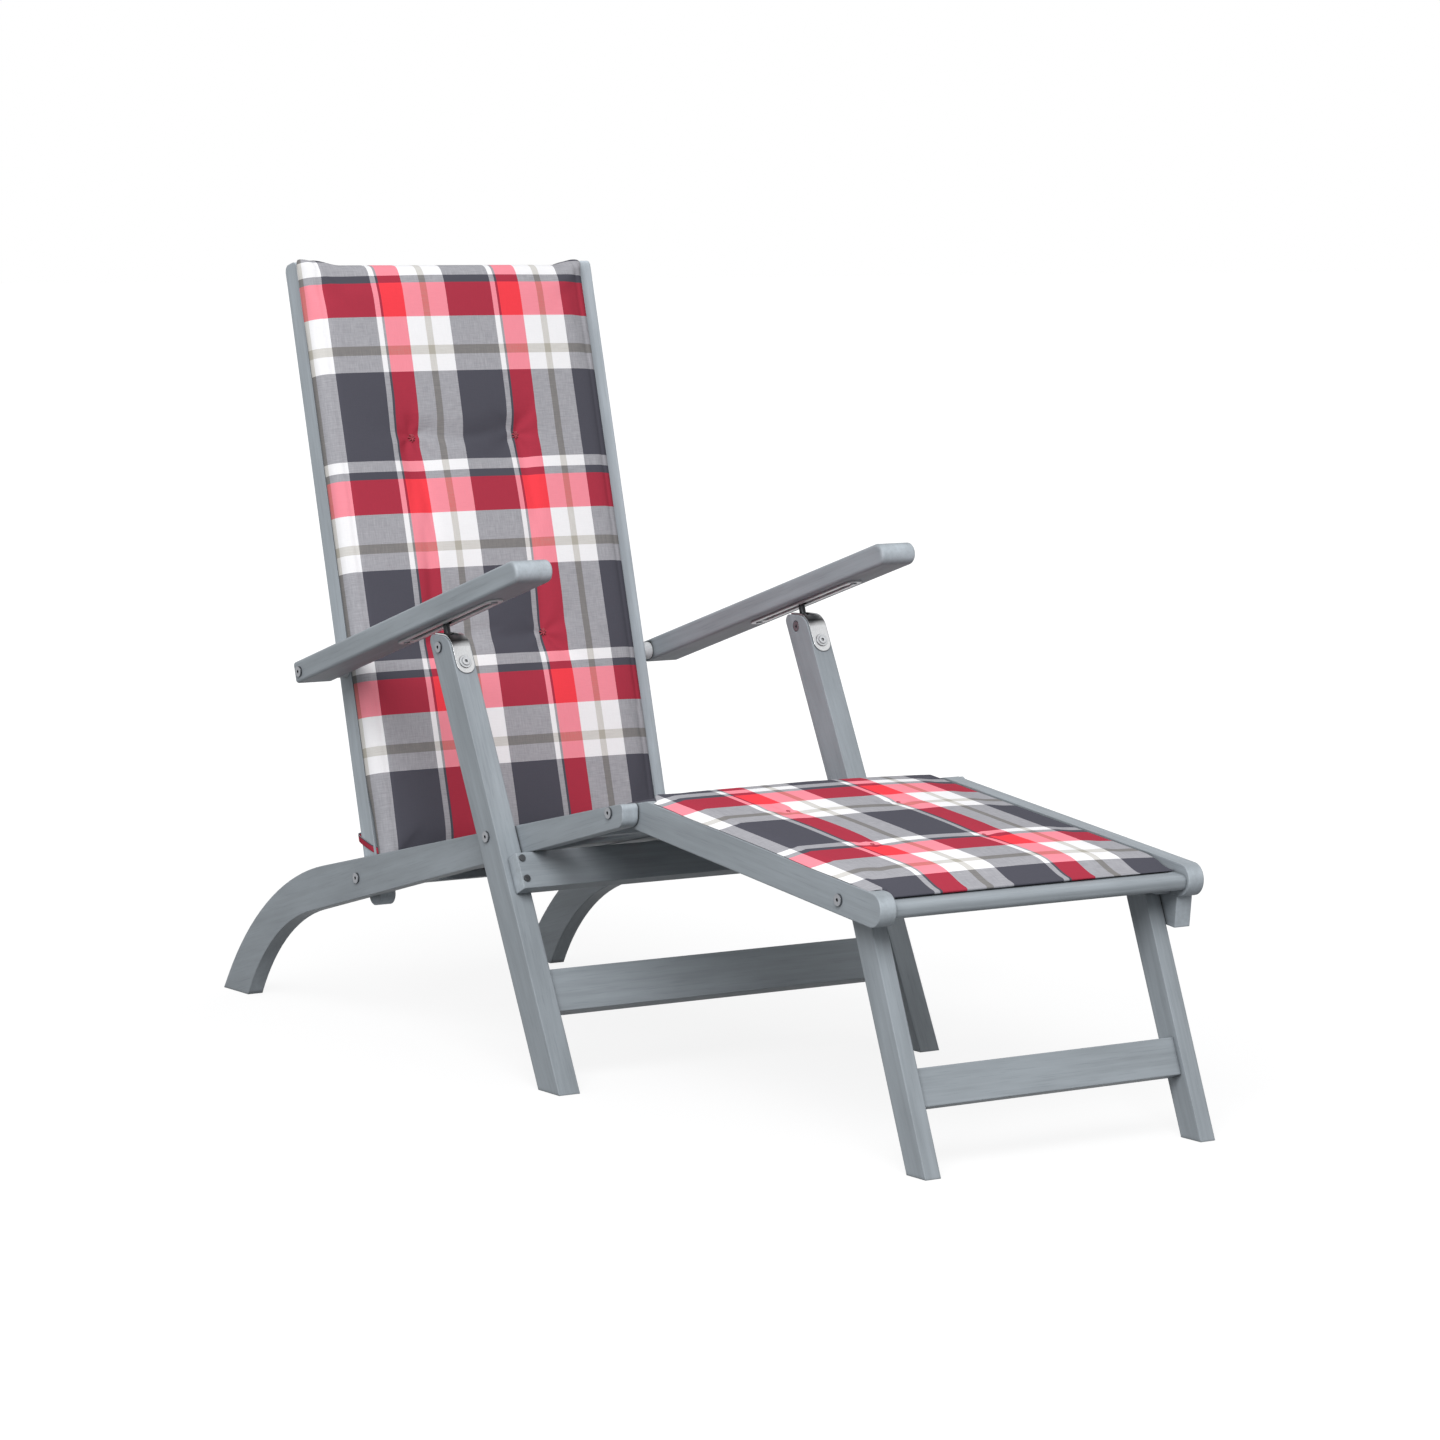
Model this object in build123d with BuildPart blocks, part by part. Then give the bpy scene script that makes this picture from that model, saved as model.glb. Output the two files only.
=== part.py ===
from build123d import *
import math
import os

os.makedirs("parts", exist_ok=True)

# Folding chaise lounge in mm, +X toward the foot end, +Z up, floor at Z 0.
# The right side is the sitter's right, at negative Y.
overall_length = 1509.0
heel_x = -overall_length / 2
sides = (("right", -1), ("left", 1))

# Layers across the width, as distances from the middle plane
leg_inner, leg_outer = 242.0, 270.0
rail_inner, rail_outer = 219.5, 240.5
stile_inner, stile_outer = 197.0, 218.0
rest_leg_inner, rest_leg_outer = 175.5, 195.5
arm_inner, arm_outer = 232.0, 283.0

# Pivots in side view (X, Z)
back_pivot = (-391.5, 188.0)
leg_pivot = (-22.5, 283.0)
arm_pivot = (-457.5, 443.0)
stud_pivot = (-131.0, 498.0)
rest_pivot = (201.5, 333.0)

# Angles of the boards in side view
leg_angle = 116.0
stile_angle = 104.87
arm_angle = 16.8
rail_angle = 12.2
rest_angle = -6.6
rest_leg_angle = -68.6

# Pivot bolts
shank_r = 3.0
run_gap = 0.05
bolt_hole_r = shank_r + run_gap
head_r, head_t = 6.5, 2.5
socket_r, socket_depth = 2.2, 1.5
nut_r, nut_t = 5.0, 5.5
face_gap = 0.1

# Screws
screw_r = 2.0
screw_hole_r = screw_r + run_gap
screw_head_r, screw_head_t = 4.0, 2.0


def side_plane(y, origin=(0.0, 0.0), angle=0.0):
    # Side view plane at a given Y, its own x axis turned up by the angle, extruding toward -Y
    turn = math.radians(angle)
    return Plane(
        origin=(origin[0], y, origin[1]),
        x_dir=(math.cos(turn), 0, math.sin(turn)),
        z_dir=(0, -1, 0),
    )


def high_y(sign, inner, outer):
    # The larger Y of a layer on one side
    return outer if sign > 0 else -inner


def along(origin, angle, u, v):
    # Side view point at u along a board and v across it
    turn = math.radians(angle)
    x = origin[0] + u * math.cos(turn) - v * math.sin(turn)
    z = origin[1] + u * math.sin(turn) + v * math.cos(turn)
    return (x, z)


def local_point(origin, angle, point):
    # A side view point given as u along a board and v across it
    turn = math.radians(angle)
    dx = point[0] - origin[0]
    dz = point[1] - origin[1]
    u = dx * math.cos(turn) + dz * math.sin(turn)
    v = -dx * math.sin(turn) + dz * math.cos(turn)
    return (u, v)


def nearest(sketch, point):
    return sketch.vertices().sort_by_distance((point[0], point[1], 0))[0]


def finish(piece, name):
    piece.part.label = name
    export_step(piece.part, f"parts/{name}.step")


# Seat rails, each with its curved rear leg in one board
heel_len = 68.0
heel_rear = (heel_x, 0.0)
heel_front = (heel_x + heel_len, 0.0)
outer_corner = (-644.1, 157.6)
inner_corner = (-627.3, 102.5)
nose_top = (229.5, 346.6)
nose_bottom = (229.5, 320.2)
outer_bend_r = 430.0
inner_bend_r = 275.0
nose_top_r = 6.0
nose_bottom_r = 13.0
for side, sign in sides:
    with BuildPart() as seat_rail:
        with BuildSketch(side_plane(high_y(sign, rail_inner, rail_outer))) as outline:
            with BuildLine():
                Polyline(
                    heel_rear, outer_corner, nose_top, nose_bottom, inner_corner, heel_front, close=True
                )
            make_face()
            fillet(nearest(outline.sketch_local, outer_corner), outer_bend_r)
            fillet(nearest(outline.sketch_local, inner_corner), inner_bend_r)
            fillet(nearest(outline.sketch_local, nose_top), nose_top_r)
            fillet(nearest(outline.sketch_local, nose_bottom), nose_bottom_r)
            with Locations(back_pivot, leg_pivot, rest_pivot):
                Circle(bolt_hole_r, mode=Mode.SUBTRACT)
        extrude(amount=rail_outer - rail_inner)
    finish(seat_rail, f"seat_rail_{side}")

# Seat crossbars and slats, in a frame whose u runs along the top edge of the rails
seat_origin = (0.0, nose_top[1] - nose_top[0] * math.tan(math.radians(rail_angle)))
slat_t = 12.0
slat_w = 54.0
slat_pitch = 68.0
slat_rows = (-2, -1, 0, 1, 2)
seat_slat_top = -18.0
seat_slat_rear = -363.0
seat_bar_front_u = (134.0, 173.0)
seat_bar_rear_u = (-351.0, -328.0)
seat_bar_rear_t = 10.0
seat_screw_u = sum(seat_bar_rear_u) / 2
seat_screw_len = 19.0

with BuildPart() as seat_bar_front:
    with BuildSketch(side_plane(rail_inner, seat_origin, rail_angle)):
        with Locations((sum(seat_bar_front_u) / 2, seat_slat_top - slat_t / 2)):
            Rectangle(seat_bar_front_u[1] - seat_bar_front_u[0], slat_t)
    extrude(amount=2 * rail_inner)
finish(seat_bar_front, "seat_crossbar_front")

seat_top = Plane(
    origin=(seat_origin[0], 0, seat_origin[1]),
    x_dir=(math.cos(math.radians(rail_angle)), 0, math.sin(math.radians(rail_angle))),
    z_dir=(-math.sin(math.radians(rail_angle)), 0, math.cos(math.radians(rail_angle))),
)
with BuildPart() as seat_bar_rear:
    with BuildSketch(side_plane(rail_inner, seat_origin, rail_angle)):
        with Locations((seat_screw_u, seat_slat_top - slat_t - seat_bar_rear_t / 2)):
            Rectangle(seat_bar_rear_u[1] - seat_bar_rear_u[0], seat_bar_rear_t)
    extrude(amount=2 * rail_inner)
    with BuildSketch(seat_top.offset(seat_slat_top)):
        with Locations(*[(seat_screw_u, row * slat_pitch) for row in slat_rows]):
            Circle(screw_hole_r)
    extrude(amount=-seat_screw_len - run_gap, mode=Mode.SUBTRACT)
finish(seat_bar_rear, "seat_crossbar_rear")

for number, row in enumerate(slat_rows, 1):
    with BuildPart() as seat_slat:
        with BuildSketch(seat_top.offset(seat_slat_top)):
            with Locations(((seat_slat_rear + seat_bar_front_u[0]) / 2, row * slat_pitch)):
                Rectangle(seat_bar_front_u[0] - seat_slat_rear, slat_w)
            with Locations((seat_screw_u, row * slat_pitch)):
                Circle(screw_hole_r, mode=Mode.SUBTRACT)
        extrude(amount=-slat_t)
    finish(seat_slat, f"seat_slat_{number}")

with BuildPart() as seat_screws:
    with BuildSketch(seat_top.offset(seat_slat_top)):
        with Locations(*[(seat_screw_u, row * slat_pitch) for row in slat_rows]):
            Circle(screw_r)
    extrude(amount=-seat_screw_len)
    with BuildSketch(seat_top.offset(seat_slat_top)):
        with Locations(*[(seat_screw_u, row * slat_pitch) for row in slat_rows]):
            Circle(screw_head_r)
    extrude(amount=screw_head_t)
finish(seat_screws, "seat_slat_screws")

# Pivot bolts: head outside, shank through both boards, nut inside
bolt_sets = (
    ("leg_pivot_bolts", leg_pivot, leg_outer, rail_inner),
    ("footrest_pivot_bolts", rest_pivot, rail_outer, stile_inner),
    ("back_pivot_bolts", back_pivot, rail_outer, stile_inner),
    ("armrest_bolts", arm_pivot, arm_outer, stile_inner),
)
for name, pivot, outer, inner in bolt_sets:
    with BuildPart() as bolts:
        for sign in (-1, 1):
            head_y = outer + face_gap + head_t
            nut_y = inner - face_gap - nut_t
            with BuildSketch(side_plane(high_y(sign, nut_y, head_y), pivot)):
                Circle(shank_r)
            extrude(amount=head_y - nut_y)
            with BuildSketch(side_plane(high_y(sign, outer + face_gap, head_y), pivot)):
                Circle(head_r)
            extrude(amount=head_t)
            with BuildSketch(side_plane(high_y(sign, nut_y, nut_y + nut_t), pivot)):
                Circle(nut_r)
            extrude(amount=nut_t)
            with BuildSketch(side_plane(high_y(sign, head_y - socket_depth, head_y), pivot)):
                RegularPolygon(socket_r, 6)
            extrude(amount=socket_depth, mode=Mode.SUBTRACT)
    finish(bolts, name)

# Back stiles
stile_half_w = 15.0
stile_low, stile_high = -36.0, 785.0
stile_low_r, stile_high_r = 14.5, 9.0
arm_on_stile = local_point(back_pivot, stile_angle, arm_pivot)
for side, sign in sides:
    with BuildPart() as stile:
        with BuildSketch(
            side_plane(high_y(sign, stile_inner, stile_outer), back_pivot, stile_angle)
        ) as outline:
            with Locations(((stile_low + stile_high) / 2, 0)):
                Rectangle(stile_high - stile_low, 2 * stile_half_w)
            fillet(outline.vertices().group_by(Axis.X)[0], stile_low_r)
            fillet(outline.vertices().group_by(Axis.X)[-1], stile_high_r)
            with Locations((0, 0), arm_on_stile):
                Circle(bolt_hole_r, mode=Mode.SUBTRACT)
        extrude(amount=stile_outer - stile_inner)
    finish(stile, f"back_stile_{side}")

# Back crossbars and slats, flush with the front edges of the stiles
back_slat_w = 52.0
back_slat_pitch = 74.0
back_slat_s = (112.0, 745.0)
back_bar_t = 17.0
back_slat_back = -stile_half_w + slat_t
back_bars = (("bottom", 114.0, 152.0), ("middle", 390.0, 430.0), ("top", 712.0, 766.0))
top_bar_dip = 12.0
back_screw_drop = 4.0
back_screw_s = [(low + high) / 2 - back_screw_drop for bar, low, high in back_bars]
back_screw_spots = [(s, row * back_slat_pitch) for s in back_screw_s for row in slat_rows]
back_screw_bite = 8.0
back_screw_len = back_bar_t + back_screw_bite
turn_back = math.radians(stile_angle)
back_dir = (math.cos(turn_back), 0, math.sin(turn_back))
back_rear = (-math.sin(turn_back), 0, math.cos(turn_back))
back_mid = Plane(origin=(back_pivot[0], 0, back_pivot[1]), x_dir=back_dir, z_dir=back_rear)
back_bar_rear = back_slat_back + back_bar_t

for bar, low, high in back_bars:
    dip = top_bar_dip if bar == "top" else 0.0
    with BuildPart() as back_bar:
        with BuildSketch(back_mid.offset(back_slat_back)):
            with BuildLine():
                Polyline((high, stile_inner), (low, stile_inner), (low, -stile_inner), (high, -stile_inner))
                if dip:
                    ThreePointArc((high, -stile_inner), (high - dip, 0), (high, stile_inner))
                else:
                    Line((high, -stile_inner), (high, stile_inner))
            make_face()
            with Locations(*[spot for spot in back_screw_spots if low < spot[0] < high]):
                Circle(screw_hole_r, mode=Mode.SUBTRACT)
        extrude(amount=back_bar_t)
    finish(back_bar, f"back_crossbar_{bar}")

for number, row in enumerate(slat_rows, 1):
    with BuildPart() as back_slat:
        with BuildSketch(back_mid.offset(-stile_half_w)):
            with Locations((sum(back_slat_s) / 2, row * back_slat_pitch)):
                Rectangle(back_slat_s[1] - back_slat_s[0], back_slat_w)
        extrude(amount=slat_t)
        with BuildSketch(back_mid.offset(back_bar_rear)):
            with Locations(*[spot for spot in back_screw_spots if spot[1] == row * back_slat_pitch]):
                Circle(screw_hole_r)
        extrude(amount=-back_screw_len - run_gap, mode=Mode.SUBTRACT)
    finish(back_slat, f"back_slat_{number}")

with BuildPart() as back_screws:
    with BuildSketch(back_mid.offset(back_bar_rear)):
        with Locations(*back_screw_spots):
            Circle(screw_r)
    extrude(amount=-back_screw_len)
    with BuildSketch(back_mid.offset(back_bar_rear)):
        with Locations(*back_screw_spots):
            Circle(screw_head_r)
    extrude(amount=screw_head_t)
finish(back_screws, "back_slat_screws")

# Armrests with a groove for the stud and a shallow recess for the slotted plate
arm_rear_u, arm_front_u = -15.0, 549.0
arm_bottom_v, arm_top_v = -12.6, 14.4
arm_nose_r = 13.4
arm_rear_r = 4.0
arm_edge_r = 4.0
stud_on_arm = local_point(arm_pivot, arm_angle, stud_pivot)
plate_u = (220.0, 456.0)
plate_w, plate_t = 22.0, 2.5
plate_screw_head_t = 1.5
slot_u = (238.0, 440.0)
slot_w = 9.6
groove_w, groove_depth = 13.0, 16.0
plate_screw_inset = 9.5
plate_screw_u = (plate_u[0] + plate_screw_inset, plate_u[1] - plate_screw_inset)
plate_screw_len = 12.0
arm_y = (arm_inner + arm_outer) / 2
turn_arm = math.radians(arm_angle)
arm_under = Plane(
    origin=(arm_pivot[0], 0, arm_pivot[1]),
    x_dir=(math.cos(turn_arm), 0, math.sin(turn_arm)),
    z_dir=(-math.sin(turn_arm), 0, math.cos(turn_arm)),
).offset(arm_bottom_v)
slot_mid_u = sum(slot_u) / 2
plate_mid_u = sum(plate_u) / 2
stud_y = (leg_inner + leg_outer) / 2

for side, sign in sides:
    with BuildPart() as armrest:
        with BuildSketch(
            side_plane(high_y(sign, arm_inner, arm_outer), arm_pivot, arm_angle)
        ) as outline:
            with Locations(((arm_rear_u + arm_front_u) / 2, (arm_bottom_v + arm_top_v) / 2)):
                Rectangle(arm_front_u - arm_rear_u, arm_top_v - arm_bottom_v)
            fillet(outline.vertices().group_by(Axis.X)[-1], arm_nose_r)
            fillet(outline.vertices().group_by(Axis.X)[0], arm_rear_r)
        extrude(amount=arm_outer - arm_inner)
        long_edges = armrest.edges().filter_by(lambda edge: edge.length > arm_front_u / 2)
        fillet(long_edges.group_by(Axis((0, 0, 0), arm_under.z_dir))[-1], arm_edge_r)
        with BuildSketch(side_plane(high_y(sign, arm_inner, arm_outer), arm_pivot)):
            Circle(bolt_hole_r)
        extrude(amount=arm_outer - arm_inner, mode=Mode.SUBTRACT)
        with BuildSketch(arm_under):
            with Locations((slot_mid_u, sign * stud_y)):
                SlotOverall(slot_u[1] - slot_u[0] + groove_w - slot_w, groove_w)
        extrude(amount=groove_depth, mode=Mode.SUBTRACT)
        with BuildSketch(arm_under):
            with Locations(*[(u, sign * stud_y) for u in plate_screw_u]):
                Circle(screw_hole_r)
        extrude(amount=plate_screw_len + run_gap, mode=Mode.SUBTRACT)
    finish(armrest, f"armrest_{side}")

with BuildPart() as slot_plates:
    for sign in (-1, 1):
        with BuildSketch(arm_under):
            with Locations((plate_mid_u, sign * stud_y)):
                SlotOverall(plate_u[1] - plate_u[0], plate_w)
            with Locations((slot_mid_u, sign * stud_y)):
                SlotOverall(slot_u[1] - slot_u[0], slot_w, mode=Mode.SUBTRACT)
            with Locations(*[(u, sign * stud_y) for u in plate_screw_u]):
                Circle(screw_hole_r, mode=Mode.SUBTRACT)
        extrude(amount=-plate_t)
finish(slot_plates, "slot_plates")

with BuildPart() as plate_screws:
    for sign in (-1, 1):
        with BuildSketch(arm_under.offset(-plate_t)):
            with Locations(*[(u, sign * stud_y) for u in plate_screw_u]):
                Circle(screw_r)
        extrude(amount=plate_screw_len + plate_t)
        with BuildSketch(arm_under.offset(-plate_t)):
            with Locations(*[(u, sign * stud_y) for u in plate_screw_u]):
                Circle(screw_head_r)
        extrude(amount=-plate_screw_head_t)
finish(plate_screws, "slot_plate_screws")

# Spacers between stiles and armrests
spacer_r = 11.0
spacer_gap = 0.4
spacer_outer = arm_inner - spacer_gap
with BuildPart() as arm_spacers:
    for sign in (-1, 1):
        with BuildSketch(side_plane(high_y(sign, stile_outer, spacer_outer), arm_pivot)):
            Circle(spacer_r)
            Circle(bolt_hole_r, mode=Mode.SUBTRACT)
        extrude(amount=spacer_outer - stile_outer)
finish(arm_spacers, "armrest_spacers")

# Front legs, upright past the rails as armrest posts, with a kerf for the stud eye
leg_half_w = 21.0
leg_top_z = 512.0
post_front_r, post_rear_r = 22.0, 8.0
lean = math.radians(leg_angle - 90.0)
leg_half_x = leg_half_w / math.cos(lean)
kerf_w = 10.0
kerf_floor_z = 484.0
kerf_front_x = -117.0
kerf_cut_x, kerf_cut_z = 60.0, 50.0
pin_r = 2.5
pin_hole_r = pin_r + run_gap
pin_seat_r, pin_seat_depth = head_r + 0.6, 3.0


def leg_edge(z, direction):
    # A point on the front (+1) or rear (-1) edge of the front leg at a height
    return (leg_pivot[0] - (z - leg_pivot[1]) * math.tan(lean) + direction * leg_half_x, z)


apron_u = (-79.5, -35.8)
apron_t = 21.0
apron_half = 262.0
apron_screw_y = 256.0
apron_screw_u = (-42.5, -67.5)
apron_screw_len = 34.0
tab_screw_u = 211.0
tab_screw_r = 3.0
tab_screw_len = 14.0
turn_leg = math.radians(leg_angle)
leg_dir = (math.cos(turn_leg), 0, math.sin(turn_leg))
leg_rear = (-math.sin(turn_leg), 0, math.cos(turn_leg))
leg_front_face = Plane(
    origin=(leg_pivot[0], 0, leg_pivot[1]), x_dir=leg_dir, z_dir=leg_rear
).offset(-leg_half_w)

for side, sign in sides:
    with BuildPart() as front_leg:
        with BuildSketch(side_plane(high_y(sign, leg_inner, leg_outer))) as outline:
            with BuildLine():
                Polyline(
                    leg_edge(0.0, -1), leg_edge(0.0, 1), leg_edge(leg_top_z, 1), leg_edge(leg_top_z, -1),
                    close=True,
                )
            make_face()
            fillet(nearest(outline.sketch_local, leg_edge(leg_top_z, 1)), post_front_r)
            fillet(nearest(outline.sketch_local, leg_edge(leg_top_z, -1)), post_rear_r)
            with Locations(leg_pivot):
                Circle(bolt_hole_r, mode=Mode.SUBTRACT)
            with Locations(stud_pivot):
                Circle(pin_hole_r, mode=Mode.SUBTRACT)
        extrude(amount=leg_outer - leg_inner)
        with BuildSketch(side_plane(sign * stud_y + kerf_w / 2)):
            with Locations((kerf_front_x - kerf_cut_x / 2, kerf_floor_z + kerf_cut_z / 2)):
                Rectangle(kerf_cut_x, kerf_cut_z)
        extrude(amount=kerf_w, mode=Mode.SUBTRACT)
        with BuildSketch(side_plane(high_y(sign, leg_inner, leg_inner + pin_seat_depth), stud_pivot)):
            Circle(pin_seat_r)
        extrude(amount=pin_seat_depth, mode=Mode.SUBTRACT)
        with BuildSketch(leg_front_face):
            with Locations(*[(u, sign * apron_screw_y) for u in apron_screw_u]):
                Circle(screw_hole_r)
            with Locations((tab_screw_u, sign * stud_y)):
                Circle(tab_screw_r + run_gap)
        extrude(amount=apron_screw_len - apron_t + run_gap, mode=Mode.SUBTRACT)
    finish(front_leg, f"front_leg_{side}")

with BuildPart() as apron:
    with BuildSketch(leg_front_face.offset(-run_gap)):
        with Locations((sum(apron_u) / 2, 0)):
            Rectangle(apron_u[1] - apron_u[0], 2 * apron_half)
        with Locations(*[(u, s * apron_screw_y) for u in apron_screw_u for s in (-1, 1)]):
            Circle(screw_hole_r, mode=Mode.SUBTRACT)
    extrude(amount=-apron_t)
finish(apron, "leg_apron")

with BuildPart() as apron_screws:
    with BuildSketch(leg_front_face.offset(-apron_t - run_gap)):
        with Locations(*[(u, s * apron_screw_y) for u in apron_screw_u for s in (-1, 1)]):
            Circle(screw_r)
    extrude(amount=apron_screw_len)
    with BuildSketch(leg_front_face.offset(-apron_t - run_gap)):
        with Locations(*[(u, s * apron_screw_y) for u in apron_screw_u for s in (-1, 1)]):
            Circle(screw_head_r)
    extrude(amount=-screw_head_t)
finish(apron_screws, "apron_screws")

stretcher_u = (-222.0, -171.0)
stretcher_t = 20.0
with BuildPart() as stretcher:
    with BuildSketch(side_plane(leg_inner, leg_pivot, leg_angle)):
        with Locations((sum(stretcher_u) / 2, 0)):
            Rectangle(stretcher_u[1] - stretcher_u[0], stretcher_t)
    extrude(amount=2 * leg_inner)
finish(stretcher, "leg_stretcher")

# Post brackets: a steel strap down the front face and over the top, forked for the stud
strap_t = 2.0
strap_w = 24.0
fork_w = 11.0
fork_cut_z = 20.0
tab_len = 47.5
tab_end_r = 11.5
strap_rear_x = -144.0
tab_end = leg_edge(leg_top_z - tab_len * math.cos(lean), 1)
corner_in = leg_edge(leg_top_z, 1)
step_out = (math.cos(lean) * strap_t, math.sin(lean) * strap_t)
corner_out = (corner_in[0] + strap_t * (1 - math.sin(lean)) / math.cos(lean), leg_top_z + strap_t)
with BuildPart() as brackets:
    for sign in (-1, 1):
        with BuildSketch(side_plane(sign * stud_y + strap_w / 2)) as outline:
            with BuildLine():
                Polyline(
                    (strap_rear_x, leg_top_z), corner_in, tab_end,
                    (tab_end[0] + step_out[0], tab_end[1] + step_out[1]),
                    corner_out, (strap_rear_x, leg_top_z + strap_t), close=True,
                )
            make_face()
            fillet(nearest(outline.sketch_local, corner_in), post_front_r)
            fillet(nearest(outline.sketch_local, corner_out), post_front_r + strap_t)
        extrude(amount=strap_w)
        with BuildSketch(side_plane(sign * stud_y + fork_w / 2)):
            with Locations((kerf_front_x - kerf_cut_x / 2, leg_top_z)):
                Rectangle(kerf_cut_x, fork_cut_z)
        extrude(amount=fork_w, mode=Mode.SUBTRACT)
        with BuildSketch(leg_front_face):
            with Locations((tab_screw_u, sign * stud_y)):
                Circle(tab_screw_r + run_gap)
        extrude(amount=-2 * strap_t, mode=Mode.SUBTRACT)
    tab_ends = brackets.edges().filter_by(lambda edge: abs(edge.length - strap_t) < 0.1)
    fillet(tab_ends.group_by(Axis.Z)[0], tab_end_r)
finish(brackets, "post_brackets")

flange_r, flange_t = 7.6, 1.4
button_r, button_t = 4.8, 3.0
strap_face = leg_front_face.offset(-strap_t - run_gap)
with BuildPart() as bracket_screws:
    for sign in (-1, 1):
        with BuildSketch(strap_face):
            with Locations((tab_screw_u, sign * stud_y)):
                Circle(tab_screw_r)
        extrude(amount=tab_screw_len)
        with BuildSketch(strap_face):
            with Locations((tab_screw_u, sign * stud_y)):
                Circle(flange_r)
        extrude(amount=-flange_t)
        with BuildSketch(strap_face):
            with Locations((tab_screw_u, sign * stud_y)):
                Circle(button_r)
        extrude(amount=-button_t)
        with BuildSketch(strap_face.offset(-button_t)):
            with Locations((tab_screw_u, sign * stud_y)):
                RegularPolygon(socket_r, 6)
        extrude(amount=socket_depth, mode=Mode.SUBTRACT)
finish(bracket_screws, "bracket_screws")

pin_inner = leg_inner + 0.4
pin_cap_t = 2.4
with BuildPart() as stud_pins:
    for sign in (-1, 1):
        outside = leg_outer + face_gap + head_t
        with BuildSketch(side_plane(high_y(sign, pin_inner, outside), stud_pivot)):
            Circle(pin_r)
        extrude(amount=outside - pin_inner)
        with BuildSketch(side_plane(high_y(sign, leg_outer + face_gap, outside), stud_pivot)):
            Circle(head_r)
        extrude(amount=head_t)
        with BuildSketch(side_plane(high_y(sign, pin_inner, pin_inner + pin_cap_t), stud_pivot)):
            Circle(head_r)
        extrude(amount=pin_cap_t)
        for start in (pin_inner, outside - socket_depth):
            with BuildSketch(side_plane(high_y(sign, start, start + socket_depth), stud_pivot)):
                RegularPolygon(socket_r, 6)
            extrude(amount=socket_depth, mode=Mode.SUBTRACT)
finish(stud_pins, "stud_pins")

# Armrest studs: an eye on the cross pin and a plain shank up into the slot
eye_r = 8.0
eye_w = 9.0
stud_r = 4.0
stud_reach = 11.0
stud_tip = arm_bottom_v - stud_on_arm[1] + stud_reach
stud_plane = Plane(
    origin=(stud_pivot[0], 0, stud_pivot[1]),
    x_dir=(math.cos(turn_arm), 0, math.sin(turn_arm)),
    z_dir=(-math.sin(turn_arm), 0, math.cos(turn_arm)),
)
with BuildPart() as studs:
    for sign in (-1, 1):
        with BuildSketch(stud_plane):
            with Locations((0, sign * stud_y)):
                Circle(stud_r)
        extrude(amount=stud_tip)
        with BuildSketch(side_plane(sign * stud_y + eye_w / 2, stud_pivot)):
            Circle(eye_r)
        extrude(amount=eye_w)
        with BuildSketch(side_plane(sign * stud_y + eye_w / 2, stud_pivot)):
            Circle(pin_hole_r)
        extrude(amount=eye_w, mode=Mode.SUBTRACT)
finish(studs, "armrest_studs")

# Footrest rails, the rear upper corners cut down below the top of the seat rails
rest_rear_u, rest_front_u = -20.0, 504.0
rest_low_v, rest_top_v = -16.0, 21.0
rest_cut_u, rest_cut_v = 42.0, 2.0
rest_front_r, rest_rear_r, rest_cut_r = 18.0, 11.0, 8.0
rest_leg_half_w = 16.0
leg_tilt = math.radians(rest_leg_angle + 90.0)
rest_leg_half_x = rest_leg_half_w / math.cos(leg_tilt)
rest_leg_z = 283.8
rest_leg_pivot = (
    overall_length / 2 - rest_leg_half_x - rest_leg_z * math.tan(leg_tilt),
    rest_leg_z,
)
rest_leg_on_rail = local_point(rest_pivot, rest_angle, rest_leg_pivot)
for side, sign in sides:
    with BuildPart() as rest_rail:
        with BuildSketch(
            side_plane(high_y(sign, stile_inner, stile_outer), rest_pivot, rest_angle)
        ) as outline:
            with BuildLine():
                Polyline(
                    (rest_rear_u, rest_low_v), (rest_front_u, rest_low_v), (rest_front_u, rest_top_v),
                    (rest_cut_u, rest_top_v), (rest_rear_u, rest_cut_v), close=True,
                )
            make_face()
            fillet(outline.vertices().group_by(Axis.X)[-1], rest_front_r)
            fillet(nearest(outline.sketch_local, (rest_rear_u, rest_low_v)), rest_rear_r)
            fillet(nearest(outline.sketch_local, (rest_rear_u, rest_cut_v)), rest_cut_r)
            fillet(nearest(outline.sketch_local, (rest_cut_u, rest_top_v)), rest_cut_r)
            with Locations((0, 0), rest_leg_on_rail):
                Circle(bolt_hole_r, mode=Mode.SUBTRACT)
        extrude(amount=stile_outer - stile_inner)
    finish(rest_rail, f"footrest_rail_{side}")

# Footrest bars and slats
turn_rest = math.radians(rest_angle)
rest_mid = Plane(
    origin=(rest_pivot[0], 0, rest_pivot[1]),
    x_dir=(math.cos(turn_rest), 0, math.sin(turn_rest)),
    z_dir=(-math.sin(turn_rest), 0, math.cos(turn_rest)),
)
front_bar_u = (474.0, 500.0)
front_bar_v = (-7.0, 10.0)
front_bar_r = 7.0
rest_slat_top = 4.5
rest_slat_t = 11.0
rest_slat_low = rest_slat_top - rest_slat_t
rest_slat_w = 52.0
rest_slat_pitch = 70.0
rear_bar_u = (26.0, 64.0)
rest_slat_end = 486.0
rest_screw_u = (front_bar_u[0] + rest_slat_end) / 2
rest_screw_bite = 4.5
rest_screw_len = rest_slat_t + rest_screw_bite

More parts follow.
